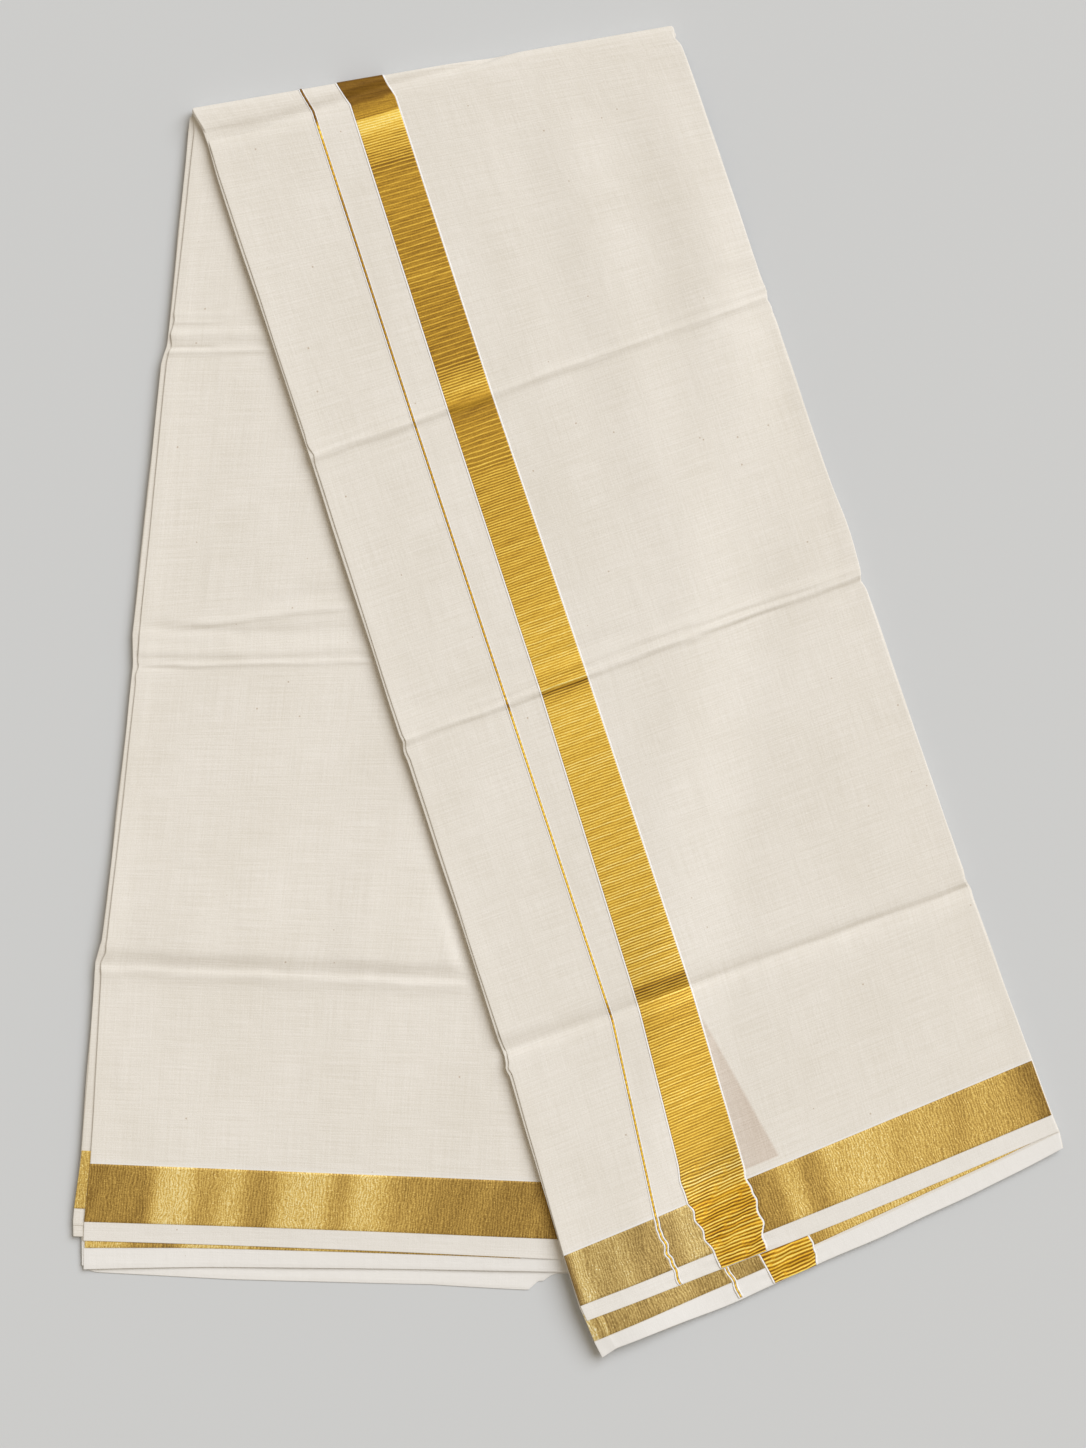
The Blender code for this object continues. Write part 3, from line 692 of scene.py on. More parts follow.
def add_thread(name, leg, line, level, radius, downs, finish, sides=8, flat=0.36, twist=0.0, tone=None):
    """A round thread or cord that lies on a leg along a line down the cloth.

    radius is read down it, and flat is how high it stands as a share of its width.
    """
    def place(column, row):
        down = downs[row]
        angle = TURN * column / sides
        turns = TURN * down / TWIST_PITCH
        tall = radius(down) * (1.0 + twist * np.sin(2.0 * angle + turns))
        size = np.where((row == 0) | (row == len(downs) - 1), THREAD_TIP * tall, tall)
        across = line(leg, down) + size * np.cos(angle)
        height = level + flat * (tall + size * np.sin(angle))
        shade = tone(down) * (1.0 + THREAD_CONTRAST * np.sin(turns)) if tone is not None else np.sin(turns)
        return leg.place(across, down, height, leg.relief(across, down)), across, down, shade

    words = ("column", "row")
    mesh = numbered_grid(words, sides, len(downs) - 1)
    set_points(mesh, words, place)
    bmesh.ops.holes_fill(mesh, edges=[edge for edge in mesh.edges if edge.is_boundary], sides=sides)
    return make_piece(name, mesh, finish)


# ---------------------------------------------------------------- gold: ribs, puckers and tones

# The end band along the cloth: distance between its ribs, their half width, how far they stand up, how
# much painted highlight they carry, and how bright the gold between them is: its own tone, with painted
# shade round the top fold and at the creases and painted highlights just below the fold and along the creases
RIB_PITCH = from_table((-29, 1.25), (8, 1.25), (30, 1.35), (36, 2.5), (134, 2.5), (140, 1.35), (154, 1.4),
                       (160, 2.6), (186, 2.5), (196, 1.35), (300, 1.35), (470, 1.42), (560, 1.45), (574, 1.6),
                       (640, 1.65))
RIB_HALF = from_table((-29, 0.28), (30, 0.29), (36, 0.26), (134, 0.26), (145, 0.29), (300, 0.30), (560, 0.32),
                      (574, 0.38), (640, 0.40))
RIB_HEIGHT = from_table((-29, 0.0), (2, 0.02), (8, 0.09), (45, 0.10), (150, 0.10), (156, 0.06), (170, 0.11),
                        (240, 0.13), (560, 0.14), (574, 0.28), (640, 0.30))
RIB_PAINTED_HIGHLIGHT = from_table((-29, 0.0), (4, 0.02), (8, 0.34), (22, 0.62), (32, 0.50), (38, 0.34), (56, 0.32),
                          (62, 0.41), (134, 0.40), (140, 0.60), (150, 0.64), (156, 0.20), (170, 0.40),
                          (200, 0.54), (300, 0.60), (400, 0.66), (445, 0.80), (460, 0.80), (490, 0.60),
                          (560, 0.60), (574, 0.95), (588, 1.0), (596, 1.15), (640, 1.15))
BAND_TONE_AND_PAINTED_LIGHT = from_table(
    (-29, 0.16), (-1, 0.17), (0.4, 0.32), (7.2, 0.38), (8.2, 0.72), (12.5, 0.74), (15, 0.62), (19, 0.51),
    (23.5, 0.51), (28, 0.44), (32, 0.39), (36, 0.41), (40, 0.43), (60, 0.43), (80, 0.41), (86.4, 0.435),
    (90.6, 0.47), (95, 0.42), (134, 0.40), (141, 0.42), (145, 0.47), (150, 0.53), (153.6, 0.47),
    (157.8, 0.45), (162, 0.36), (166, 0.40), (170, 0.44), (191, 0.465), (204, 0.445), (240, 0.49),
    (262, 0.51), (275, 0.556), (284, 0.575), (296, 0.587), (300.6, 0.63), (304.8, 0.53), (308.8, 0.54),
    (309.6, 0.72), (310.6, 0.70), (311.4, 0.30), (314, 0.42), (317.4, 0.57), (325, 0.61), (338, 0.605),
    (346, 0.57), (410, 0.56), (425, 0.575), (440, 0.57), (452, 0.54), (460, 0.565), (466, 0.54),
    (469, 0.46), (472, 0.32), (474, 0.30), (477, 0.46), (481, 0.54), (485, 0.49), (494, 0.475), (502, 0.50),
    (515, 0.53), (540, 0.53), (556, 0.515), (566, 0.475), (574, 0.48), (578, 0.56), (582, 0.49),
    (586, 0.50), (590.4, 0.41), (594.6, 0.52), (600, 0.49), (640, 0.51))
FIRST_RIB_DOWN = -29.0
LAST_RIB_DOWN = 641.0
SECOND_RIBS_START = 616.5
RIB_COUNT_STEP = 0.5
FINE_RIBS = 0.20  # between two ribs lies one this strong
FINE_RIBS_PITCH = 2.0  # but only where ribs lie further apart than this
MEAN_RIB = 0.78
BAND_CROSSES = 572.0  # from here the band crosses the border, looser and more uneven
FOLD_SLANT = 0.12  # round the top fold the band's painted highlights and shade run aslant
RIB_SLANT = from_table((0, 0.09), (157, 0.0))
RIB_WANDER = from_table((150, 0.06), (200, 0.13), (560, 0.13), (580, 0.34))
RIB_EVENNESS = from_table((140, 0.65), (190, 0.30), (560, 0.30), (575, 0.0))
BAND_MIDDLE = 88.0


def rib_phases():
    """How many ribs lie above each distance down the end band."""
    downs = np.arange(FIRST_RIB_DOWN, LAST_RIB_DOWN, RIB_COUNT_STEP)
    return downs, np.concatenate(([0.0], np.cumsum(RIB_COUNT_STEP / RIB_PITCH(downs[:-1]))))


RIB_DOWNS, RIB_COUNTS = rib_phases()
RIB_STRENGTHS = np.random.RandomState(11).uniform(0.50, 1.0, len(RIB_COUNTS))


def rib_shape(across, down):
    """Height of the ribs from nought to one; they differ in strength, and wander a little."""
    down = down + RIB_SLANT(down) * (across - BAND_MIDDLE)
    wander = ripple(across, 34.0, 21) * ripple(down, 47.0, 22) + 0.7 * ripple(across + down, 19.0, 23)
    count = np.interp(down, RIB_DOWNS, RIB_COUNTS) + RIB_WANDER(down) * wander
    number = np.floor(count).astype(int)
    pitch = RIB_PITCH(down)
    aside = (count - number - 0.5) * pitch
    between = 0.5 * pitch - np.abs(aside)
    half = RIB_HALF(down)
    strength = RIB_STRENGTHS[np.clip(number, 0, len(RIB_STRENGTHS) - 1)]
    strength = mix(strength, MEAN_RIB, RIB_EVENNESS(down))
    fine = FINE_RIBS * np.exp(-(between / (0.8 * half)) ** 2) * smooth_step((pitch - FINE_RIBS_PITCH) / 0.4)
    return strength * np.exp(-(aside / half) ** 2) + fine


def band_ribs(across, down):
    return RIB_HEIGHT(down) * rib_shape(across, down)


def second_band_ribs(across, down):
    """The second ply's ribs rise where they leave the shade of the face ply's hem."""
    return band_ribs(across, down) * smooth_step((down - SECOND_RIBS_START) / 2.5)


def band_tone_and_painted_light(across, down):
    """How bright the end band is: its table of tone with painted highlights and shade, the painted highlights
    of its ribs, and streaks that grow where it crosses the border.
    """
    streaks = 0.025 * ripple(down, 5.0, 31) + 0.03 * ripple(across + 3.0 * down, 23.0, 32)
    uneven = 0.09 * ripple(down + 0.25 * across, 21.0, 33) + 0.05 * ripple(across, 17.0, 34)
    streaks = streaks + smooth_step((down - BAND_CROSSES) / 8.0) * uneven
    slant = FOLD_SLANT * (across - BAND_MIDDLE) * np.interp(down, (12.0, 40.0), (1.0, 0.0))
    return BAND_TONE_AND_PAINTED_LIGHT(down + slant) + RIB_PAINTED_HIGHLIGHT(down) * (rib_shape(across, down) - 0.30) + streaks


PATCH_LIFT = 0.035
PATCH_SPAN = 1.05


def painted_reflection_patches(seed, *patches):
    """A border's tone: a table of broad bright and dull patches of painted reflection across the leg, and a
    fine unevenness.
    """
    patch = from_table(*patches)

    def tone(across, down):
        return PATCH_LIFT + PATCH_SPAN * patch(across) + 0.05 * ripple(across + 0.35 * down, 31.0, seed)
    return tone


# Painted reflections: the borders' gold is painted in bright and dull patches across the leg
BACK_BORDER_PAINTED_REFLECTION = painted_reflection_patches(
    71, (0, 0.31), (30, 0.33), (37, 0.68), (51, 0.70), (57, 0.47), (64, 0.50), (72, 0.61), (77, 0.60),
    (84, 0.40), (92, 0.40), (102, 0.66), (121, 0.68), (129, 0.46), (133, 0.47), (140, 0.65), (149, 0.64),
    (160, 0.45), (172, 0.37), (200, 0.33), (240, 0.29))
FRONT_BORDER_PAINTED_REFLECTION = painted_reflection_patches(
    72, (0, 0.14), (2, 0.25), (3, 0.47), (6, 0.64), (8, 0.52), (11, 0.40), (14, 0.43), (20, 0.42), (28, 0.53),
    (37, 0.36), (41, 0.33), (58, 0.40), (63, 0.54), (68, 0.52), (74, 0.40), (104, 0.28), (116, 0.38),
    (121, 0.60), (127, 0.60), (132, 0.36), (139, 0.37), (147, 0.62), (164, 0.62), (174, 0.57), (190, 0.53),
    (216, 0.46), (240, 0.48), (246, 0.46), (252, 0.38), (258, 0.24), (262, 0.22))
SECOND_BORDER_PAINTED_REFLECTION = painted_reflection_patches(
    73, (0, 0.55), (6, 0.36), (50, 0.42), (90, 0.34), (124, 0.42), (150, 0.60), (220, 0.60), (250, 0.52))
LEDGE_BORDER_TONE = painted_reflection_patches(74, (-8, 0.62), (0, 0.56))
SLIVER_PAINTED_REFLECTION = painted_reflection_patches(
    75, (0, 0.66), (20, 0.66), (24, 0.36), (48, 0.38), (53, 0.70), (84, 0.68), (92, 0.44), (120, 0.60),
    (150, 0.40), (230, 0.50))
# The gold thread's tone down the cloth, with painted shade round the top fold and at the creases and a
# painted highlight just below the fold
THREAD_TONE_AND_PAINTED_LIGHT = from_table(
    (-29, 0.14), (5, 0.16), (8, 0.58), (13, 0.62), (16, 0.46), (40, 0.42), (46, 0.29), (100, 0.31),
    (150, 0.36), (230, 0.39), (290, 0.44), (308, 0.50), (311, 0.28), (318, 0.58), (470, 0.57), (478, 0.28),
    (484, 0.54), (580, 0.54), (640, 0.56))
CORNER_CREASE_ACROSS = 5.6  # where the crease at the second ply's left corner lies,
CORNER_CREASE_DOWN = 608.0  # this far down,
CORNER_CREASE_LEAN = 0.114  # and how much it leans


def second_border_painted_light(across, down):
    """The second ply's border, with a painted highlight along the crease at its left corner and the corner
    left of it painted brighter.
    """
    aside = across - (CORNER_CREASE_ACROSS + CORNER_CREASE_LEAN * (down - CORNER_CREASE_DOWN))
    corner = 0.34 * np.exp(-(aside / 0.9) ** 2) + 0.20 * smooth_step((-aside - 3.0) / 2.0)
    return SECOND_BORDER_PAINTED_REFLECTION(across, down) + corner


# ---------------------------------------------------------------- finishes

class Value:
    """A number that varies over a surface. Arithmetic on it adds Math nodes."""

    def __init__(self, finish, socket):
        self.finish = finish
        self.socket = socket

    def math(self, operation, first, second):
        return self.finish.node("ShaderNodeMath", {"operation": operation}, {0: first, 1: second})

    def __add__(self, other):
        return self.math("ADD", self, other)

    def __sub__(self, other):
        return self.math("SUBTRACT", self, other)

    def __rsub__(self, other):
        return self.math("SUBTRACT", other, self)

    def __mul__(self, other):
        return self.math("MULTIPLY", self, other)

    def __gt__(self, other):
        return self.math("GREATER_THAN", self, other)

    def __lt__(self, other):
        return self.math("LESS_THAN", self, other)

    __radd__ = __add__
    __rmul__ = __mul__

    def sine(self):
        return self.math("SINE", self, 0.0)

    def within(self):
        """The value held between nought and one."""
        return self.math("MINIMUM", self.math("MAXIMUM", self, 0.0), 1.0)


class Finish:
    """A material under construction."""

    def __init__(self, name, constants):
        self.material = bpy.data.materials.new(name)
        self.material.use_nodes = True
        self.tree = self.material.node_tree
        self.shader = self.tree.nodes["Principled BSDF"]
        for socket, value in constants.items():
            self.shader.inputs[socket].default_value = value
        self.cloth = self.node("ShaderNodeAttribute", {"attribute_name": "cloth"}, {}, "Vector")
        self.across = self.node("ShaderNodeSeparateXYZ", {}, {0: self.cloth}, "X")
        self.down = self.node("ShaderNodeSeparateXYZ", {}, {0: self.cloth}, "Y")

    def node(self, kind, settings, sockets, output=0):
        """Adds a node: its settings first, then the values or links of its sockets."""
        node = self.tree.nodes.new(kind)
        for name, value in settings.items():
            setattr(node, name, value)
        for name, value in sockets.items():
            self.feed(node.inputs[name], value)
        return Value(self, node.outputs[output])

    def feed(self, socket, value):
        if isinstance(value, Value):
            self.tree.links.new(value.socket, socket)
        else:
            socket.default_value = value

    def kept_tone(self):
        """The tone that is kept with the mesh."""
        return self.node("ShaderNodeAttribute", {"attribute_name": "tone"}, {}, "Fac")

    def noise(self, across, down, detail):
        """Noise on the cloth; across and down are how many times a mm it changes each way."""
        scaled = self.node("ShaderNodeMapping", {}, {"Vector": self.cloth, "Scale": (across, down, 1.0)})
        return self.node("ShaderNodeTexNoise", {}, {"Vector": scaled, "Scale": 1.0, "Detail": detail}, "Fac")

    def mix(self, factor, first, second):
        """A colour between two colours."""
        first = first if isinstance(first, Value) else (*first, 1.0)
        second = second if isinstance(second, Value) else (*second, 1.0)
        return self.node("ShaderNodeMix", {"data_type": "RGBA"}, {0: factor, 6: first, 7: second}, 2)

    def ramp(self, value, stops):
        """The colour that a run of stops gives a value between nought and one."""
        colour = self.node("ShaderNodeValToRGB", {}, {"Fac": value.within()}, "Color")
        elements = colour.socket.node.color_ramp.elements
        while len(elements) < len(stops):
            elements.new(0.5)
        for element, (place, shade) in zip(elements, stops):
            element.position = place
            element.color = (*shade, 1.0)
        return colour

    def bump(self, height, distance, strength, under=None):
        sockets = {"Height": height, "Distance": distance, "Strength": strength}
        if under is not None:
            sockets["Normal"] = under
        return self.node("ShaderNodeBump", {}, sockets, "Normal")

    def finish(self, colour, normal, roughness=None):
        self.feed(self.shader.inputs["Base Color"], colour)
        self.feed(self.shader.inputs["Normal"], normal)
        if roughness is not None:
            self.feed(self.shader.inputs["Roughness"], roughness)
        return self.material


CREAM_DEEP = (0.735, 0.682, 0.592)
CREAM_LIGHT = (0.838, 0.789, 0.714)
SELVEDGE = (0.84, 0.815, 0.775)
SELVEDGE_SHARPNESS = 2.5
FLECK = (0.42, 0.30, 0.19)
FLECK_CELLS = 0.085  # so many cells a mm, with a fleck in some of them,
FLECK_SIZE = 0.042  # of this share of a cell
FLECK_FIELDS = 0.46
FLECK_STRENGTH = 0.55
WEAVE_TURNS = TURN / 0.56  # a warp and a weft thread take 0.56 mm

# A ply's gold that shows faintly through the face, beside the end band: a triangle whose right edge leans
SHOWN_DEEP = (0.585, 0.495, 0.405)
SHOWN_LIGHT = (0.735, 0.645, 0.555)
SHOWN_TOP = 489.6
SHOWN_LOW = 577.5
SHOWN_LEFT = 90.0
SHOWN_RIGHT = 102.2
SHOWN_LEAN = 0.2311


def shown_gold(finish):
    """How strongly the gold below shows: within its triangle, and more so towards the right."""
    edge = SHOWN_RIGHT + SHOWN_LEAN * (finish.down - SHOWN_TOP)
    inside = ((edge - finish.across) * 0.7).within() * ((SHOWN_LOW - finish.down) * 1.2).within()
    inside = inside * ((finish.down - SHOWN_TOP) * 0.08).within() * (finish.across > SHOWN_LEFT)
    return inside * (0.60 + (finish.across - SHOWN_LEFT) * 0.018).within()


def flecks(finish):
    cells = finish.node("ShaderNodeMapping", {},
                        {"Vector": finish.cloth, "Scale": (FLECK_CELLS, FLECK_CELLS, 1.0)})
    spots = finish.node("ShaderNodeTexVoronoi", {}, {"Vector": cells, "Scale": 1.0}, "Distance")
    return (finish.noise(0.05, 0.05, 0.0) > FLECK_FIELDS) * (spots < FLECK_SIZE) * FLECK_STRENGTH


def selvedge_strip(finish, start, end, white):
    """A strip across the cloth, from start to end down it; white is how strong it is."""
    begun = ((finish.down - start) * SELVEDGE_SHARPNESS).within()
    return begun * ((end - finish.down) * SELVEDGE_SHARPNESS).within() * white


def cotton(name, selvedges=(), shown_through=False):
    """Unbleached cotton: plain weave, slubs along both threads, a few flecks, and firmer selvedges.

    A selvedge is where it starts and ends down the cloth, and how white it is.
    """
    finish = Finish(name, {"Roughness": 0.88, "Sheen Weight": 0.10, "Sheen Roughness": 0.5,
                           "Specular IOR Level": 0.25})
    warp_slubs = finish.noise(1.1, 0.03, 3.0)
    weft_slubs = finish.noise(0.035, 1.5, 3.0)
    mottle = finish.noise(0.022, 0.016, 3.0)
    grain = finish.noise(1.3, 1.3, 2.0)
    slubs = 0.6 * (warp_slubs - 0.5) + (weft_slubs - 0.5)
    tint = (0.5 + (mottle - 0.5) + 1.5 * slubs + 1.3 * (grain - 0.5)).within()
    colour = finish.mix(tint, CREAM_DEEP, CREAM_LIGHT)
    if shown_through:
        colour = finish.mix(shown_gold(finish), colour, finish.mix(tint, SHOWN_DEEP, SHOWN_LIGHT))
    if selvedges:
        strips = sum((selvedge_strip(finish, *selvedge) for selvedge in selvedges), 0.0)
        colour = finish.mix(strips, colour, SELVEDGE)
    colour = finish.mix(flecks(finish), colour, FLECK)
    weave = (finish.across * WEAVE_TURNS).sine() * (finish.down * WEAVE_TURNS).sine()
    normal = finish.bump(finish.noise(0.14, 0.10, 3.0), 0.36 * MM, 0.6)
    normal = finish.bump(slubs, 0.11 * MM, 0.7, normal)
    normal = finish.bump(weave + grain * 1.6, 0.045 * MM, 0.6, normal)
    return finish.finish(colour, normal)


# Gold from its darkest tone to its brightest, in the borders and in the end band
KHAKI_GOLD = (
    (0.0, (0.10, 0.045, 0.008)),
    (0.25, (0.27, 0.152, 0.029)),
    (0.5, (0.56, 0.350, 0.080)),
    (0.75, (0.83, 0.585, 0.16)),
    (1.0, (1.0, 0.84, 0.42)),
)
RICH_GOLD = (
    (0.0, (0.10, 0.034, 0.001)),
    (0.25, (0.30, 0.145, 0.008)),
    (0.5, (0.72, 0.412, 0.028)),
    (0.75, (0.98, 0.70, 0.10)),
    (1.0, (1.0, 0.90, 0.36)),
)
BAND_GOLD = (
    (0.0, (0.09, 0.034, 0.002)),
    (0.25, (0.28, 0.140, 0.012)),
    (0.5, (0.69, 0.397, 0.039)),
    (0.75, (0.98, 0.685, 0.115)),
    (1.0, (1.0, 0.90, 0.40)),
)
ZARI_METALLIC = 0.4
WORM_TURNS = TURN / 1.5  # the fine lines of the borders lie 1.5 mm apart


def tinted(gold, *gains):
    """The same run of gold with more or less red, green and blue in it."""
    return tuple((place, tuple(gain * part for gain, part in zip(gains, colour))) for place, colour in gold)


# The khaki gold made greyer and paler, for a border's stretches left of the end band
GREYER_KHAKI_GOLD = tinted(KHAKI_GOLD, 0.955, 1.045, 1.5)
LOOSE_GOLD = tinted(RICH_GOLD, 1.05, 0.94, 0.62)


def zari(name, stops, streaked, crinkle, worms=0.0, loose=None):
    """Gold thread woven in: tones kept with the mesh, with their painted highlights and shade, streaks along
    the threads, and a fine painted sparkle with painted glints.

    streaked is how many times a mm the streaks change across and down, and how strong they are; worms is
    the strength of the fine wavy lines that loosely woven gold shows, which curl where it is brightest;
    loose is the gold that the end band turns to where it crosses the border.
    """
    across, down, contrast = streaked
    finish = Finish(name, {"Metallic": ZARI_METALLIC, "Specular IOR Level": 0.3})
    tone = finish.kept_tone()
    # How bright the gold is painted, which the crinkle and the painted glints follow
    lit = tone * 1.3 + 0.2
    streaks = finish.noise(across, down, 3.0)
    crumple = finish.noise(0.55, 0.55, 3.0)
    sparkle = finish.noise(1.4, 1.4, 2.0)
    relief = crumple + sparkle
    value = tone + contrast * (streaks - 0.5) + crinkle * lit * (0.6 * (crumple - 0.5) + (sparkle - 0.5))
    if worms > 0.0:
        bend = finish.noise(0.17, 0.11, 2.0)
        lines = (finish.across * WORM_TURNS + bend * (tone * 34.0 + 6.0)).sine()
        # Painted glints: specks of colour made brighter where the gold is painted bright
        painted_glint = ((sparkle - 0.60) * 9.0).within() * lit
        value = value + worms * lit * lines + 0.24 * painted_glint
        relief = relief + 0.35 * lines
    colour = finish.ramp(value, stops)
    if loose:
        crossed = ((finish.down - BAND_CROSSES) * 0.08).within()
        colour = finish.mix(crossed, colour, finish.ramp(value, loose))
    normal = finish.bump(streaks, 0.10 * MM, 0.5)
    normal = finish.bump(relief, 0.12 * MM, 0.5, normal)
    return finish.finish(colour, normal, 0.38 + 0.2 * streaks)


def yarn(name, first, second, roughness):
    """A twisted cotton thread: two colours that follow its turns."""
    finish = Finish(name, {"Roughness": roughness})
    colour = finish.mix((0.5 + 0.5 * finish.kept_tone()).within(), first, second)
    return finish.finish(colour, finish.bump(finish.noise(4.0, 4.0, 2.0), 0.05 * MM, 0.6))


# ---------------------------------------------------------------- the pieces

# The edge of each ply and each strip of gold: where its lower side lies in the stack, and its thickness
GOLD_LEVEL = 4.50
SECOND_GOLD_LEVEL = 3.72
FACE_PLY = rounded_rings(4.05, 0.4)
FRONT_SECOND_PLY = rounded_rings(3.4, 0.36)
FRONT_THIRD_PLY = rounded_rings(2.9, 0.34)
FRONT_LOWER_PLIES = layered_rings(0.0, 2.8, 5, 0.9)
FOLDED_EDGE_PLY = rounded_rings(3.36, 0.3)
FOLDED_EDGE_LOWER_PLY = rounded_rings(2.94, 0.3)
BACK_SECOND_PLY = rounded_rings(2.4, 0.32)
BACK_THIRD_PLY = rounded_rings(1.98, 0.32)
BACK_LOWER_PLIES = layered_rings(0.46, 1.9, 3, 0.9)
BACK_LOWEST_PLY = rounded_rings(0.02, 0.34)
BAND_STRIP = rounded_rings(GOLD_LEVEL, 0.3, 2)
FRONT_BORDER_STRIP = rounded_rings(GOLD_LEVEL, 0.22, 2)
SECOND_BAND_STRIP = rounded_rings(SECOND_GOLD_LEVEL, 0.18, 2)
SECOND_BORDER_STRIP = rounded_rings(SECOND_GOLD_LEVEL, 0.14, 2)
BACK_BORDER_STRIP = rounded_rings(4.44, 0.16, 2)
FOLDED_EDGE_STRIP = rounded_rings(3.72, 0.22, 2)
SLIVER_STRIP = rounded_rings(2.78, 0.18, 2)

FRONT_SPOTS = (157.0, 311.0, 482.0, 304.0)  # rows lie closer together near these creases
BACK_SPOTS = (120.0, 132.0, 272.0, 297.0, 455.0)
HEM_PUCKERS = tuple(np.arange(578.0, 620.0, 8.0))
SECOND_HEM_PUCKERS = tuple(np.arange(612.0, 640.0, 2.0))
BACK_HEM_SPOT = (608.0,)
COARSE = 7.0  # rows of the plies that hardly show lie this far apart,
PLAIN_FINE = 1.6  # and this near to a crease


def front_rows(end, fine, coarse, spots):
    """Rows of a front ply: round the top fold and down the leg."""
    fold = stops_down(-FOLD_ARC, -0.2, 0.5, 1.2, (-0.5 * FOLD_ARC,), 4.0)[:-1]
    return np.concatenate((fold, stops_down(0.0, end, fine, coarse, spots)))


def second_hem(share):
    """How far the second ply's hem reaches past its last row: a little corner hangs down on the left."""
    corner = np.interp(share, (0.0, 0.034, 0.12, 0.30), (0.5, -1.5, -1.0, 0.0))
    return corner + 0.7 * ripple(share * 260.0, 150.0, 6)


def third_hem(share):
    return -1.4 + 1.2 * ripple(share * 260.0, 190.0, 9)


FRONT_CORE_HEM = from_table((0.0, -2.6), (1.0, -2.6))


def build_front(looks):
    leg = FRONT_LEG
    at = leg.down_at
    face = add_sheet(
        "front_face_ply", leg, FACE_LEFT, FACE_RIGHT, shares_across(96),
        front_rows(at["hem"], 0.55, 2.8, FRONT_SPOTS + HEM_PUCKERS), FACE_PLY, looks["face"], droop=0.25)
    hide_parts("front_face")

    corner_shares = np.linspace(0.007, 0.075, 18)
    band_shares = np.linspace(0.27, 0.49, 40)
    second = add_sheet(
        "front_second_ply", SECOND_LEG, SECOND_LEFT, right_edge(0.1, 0.35, 5, RIGHT_KINKS),
        np.union1d(shares_across(44), np.concatenate((corner_shares, band_shares))),
        front_rows(at["second_hem"], 0.9, COARSE, FRONT_SPOTS + SECOND_HEM_PUCKERS),
        FRONT_SECOND_PLY, looks["second"], hem=second_hem, droop=0.4)
    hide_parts("front_hidden_plies")

    plain_rows = front_rows(at["second_hem"], PLAIN_FINE, COARSE, FRONT_SPOTS + (625.0,))
    third = add_sheet(
        "front_third_ply", leg, left_edge(0.1, 0.45, 7, FOLD_LEFT_KINKS),
        right_edge(0.5, 0.35, 8, RIGHT_KINKS), shares_across(36), plain_rows,
        FRONT_THIRD_PLY, looks["plain"], hem=third_hem, droop=0.3, wrinkled=False)
    core = add_sheet(
        "front_folded_plies", leg, left_edge(0.2, 0.3, 10, FOLD_LEFT_KINKS),
        right_edge(0.2, 0.3, 11, RIGHT_KINKS), shares_across(36), plain_rows, FRONT_LOWER_PLIES,
        looks["plain"], hem=FRONT_CORE_HEM, uneven=0.4, wrinkled=False, seed=12)
    return face, second, third, core


SIDES = ("left", "right")

# Half widths of the threads down the cloth, and how far the white cords lie from the gold thread line
BAND_CORD = from_table((-29, 0.45), (570, 0.46), (580, 0.52), (640, 0.52))
GOLD_LINE = from_table((-29, 0.55), (570, 0.55), (582, 0.50), (640, 0.46))
LEFT_LINE_CORD = from_table((-29, 0.36), (570, 0.36), (582, 0.40), (640, 0.38))
RIGHT_LINE_CORD = from_table((-29, 0.22), (570, 0.24), (582, 0.38), (640, 0.36))
SECOND_THREADS = from_table((-29, 0.18), (SECOND_RIBS_START, 0.18), (SECOND_RIBS_START + 2.0, 0.40))
LINE_CORD_ASIDE = from_table((-29, 0.86), (570, 0.86), (582, 0.94), (640, 0.88))
GOLD_START = -26.0  # the front leg's gold starts inside the top fold
SECOND_BORDER_HEMS = (None, None, from_table((0.0, -0.6), (0.5, -1.6), (0.85, -2.2), (1.0, -5.0)))


def add_gold(name, leg, left, right, shares, downs, strip, finish, **shape):
    """A strip of gold that replaces the solid of the same name."""
    piece = add_sheet(name + "_zari", leg, left, right, shares, downs, strip, finish,
                      **shape)
    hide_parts(name)
    return piece


def add_borders(stem, leg, stretches, downs, strip, tone, looks, hems=(None, None, None)):
    """A border's three stretches: up to the thread line, up to the end band, and right of it."""
    sides = (("left", "greyer_border"), ("middle", "greyer_border"), ("right", "border"))
    return [
        add_gold(f"{stem}_{side}", leg, left, right, shares, downs, strip, looks[look], tone=tone, hem=hem)
        for (side, look), (left, right, shares), hem in zip(sides, stretches, hems)]


def add_cords(stem, leg, lines, radii, level, downs, looks, **shape):
    """A white cord along each of two lines."""
    return [add_thread(f"{stem}_cord_{side}", leg, line, level, radius, downs, looks["white_yarn"], **shape)
            for side, line, radius in zip(SIDES, lines, radii)]


def beside_thread(kinks):
    """Lines to the left and to the right of the thread line."""
    line = woven_line("thread", 0.0, kinks)
    return (lambda leg, down: line(leg, down) - LINE_CORD_ASIDE(down),
            lambda leg, down: line(leg, down) + LINE_CORD_ASIDE(down))


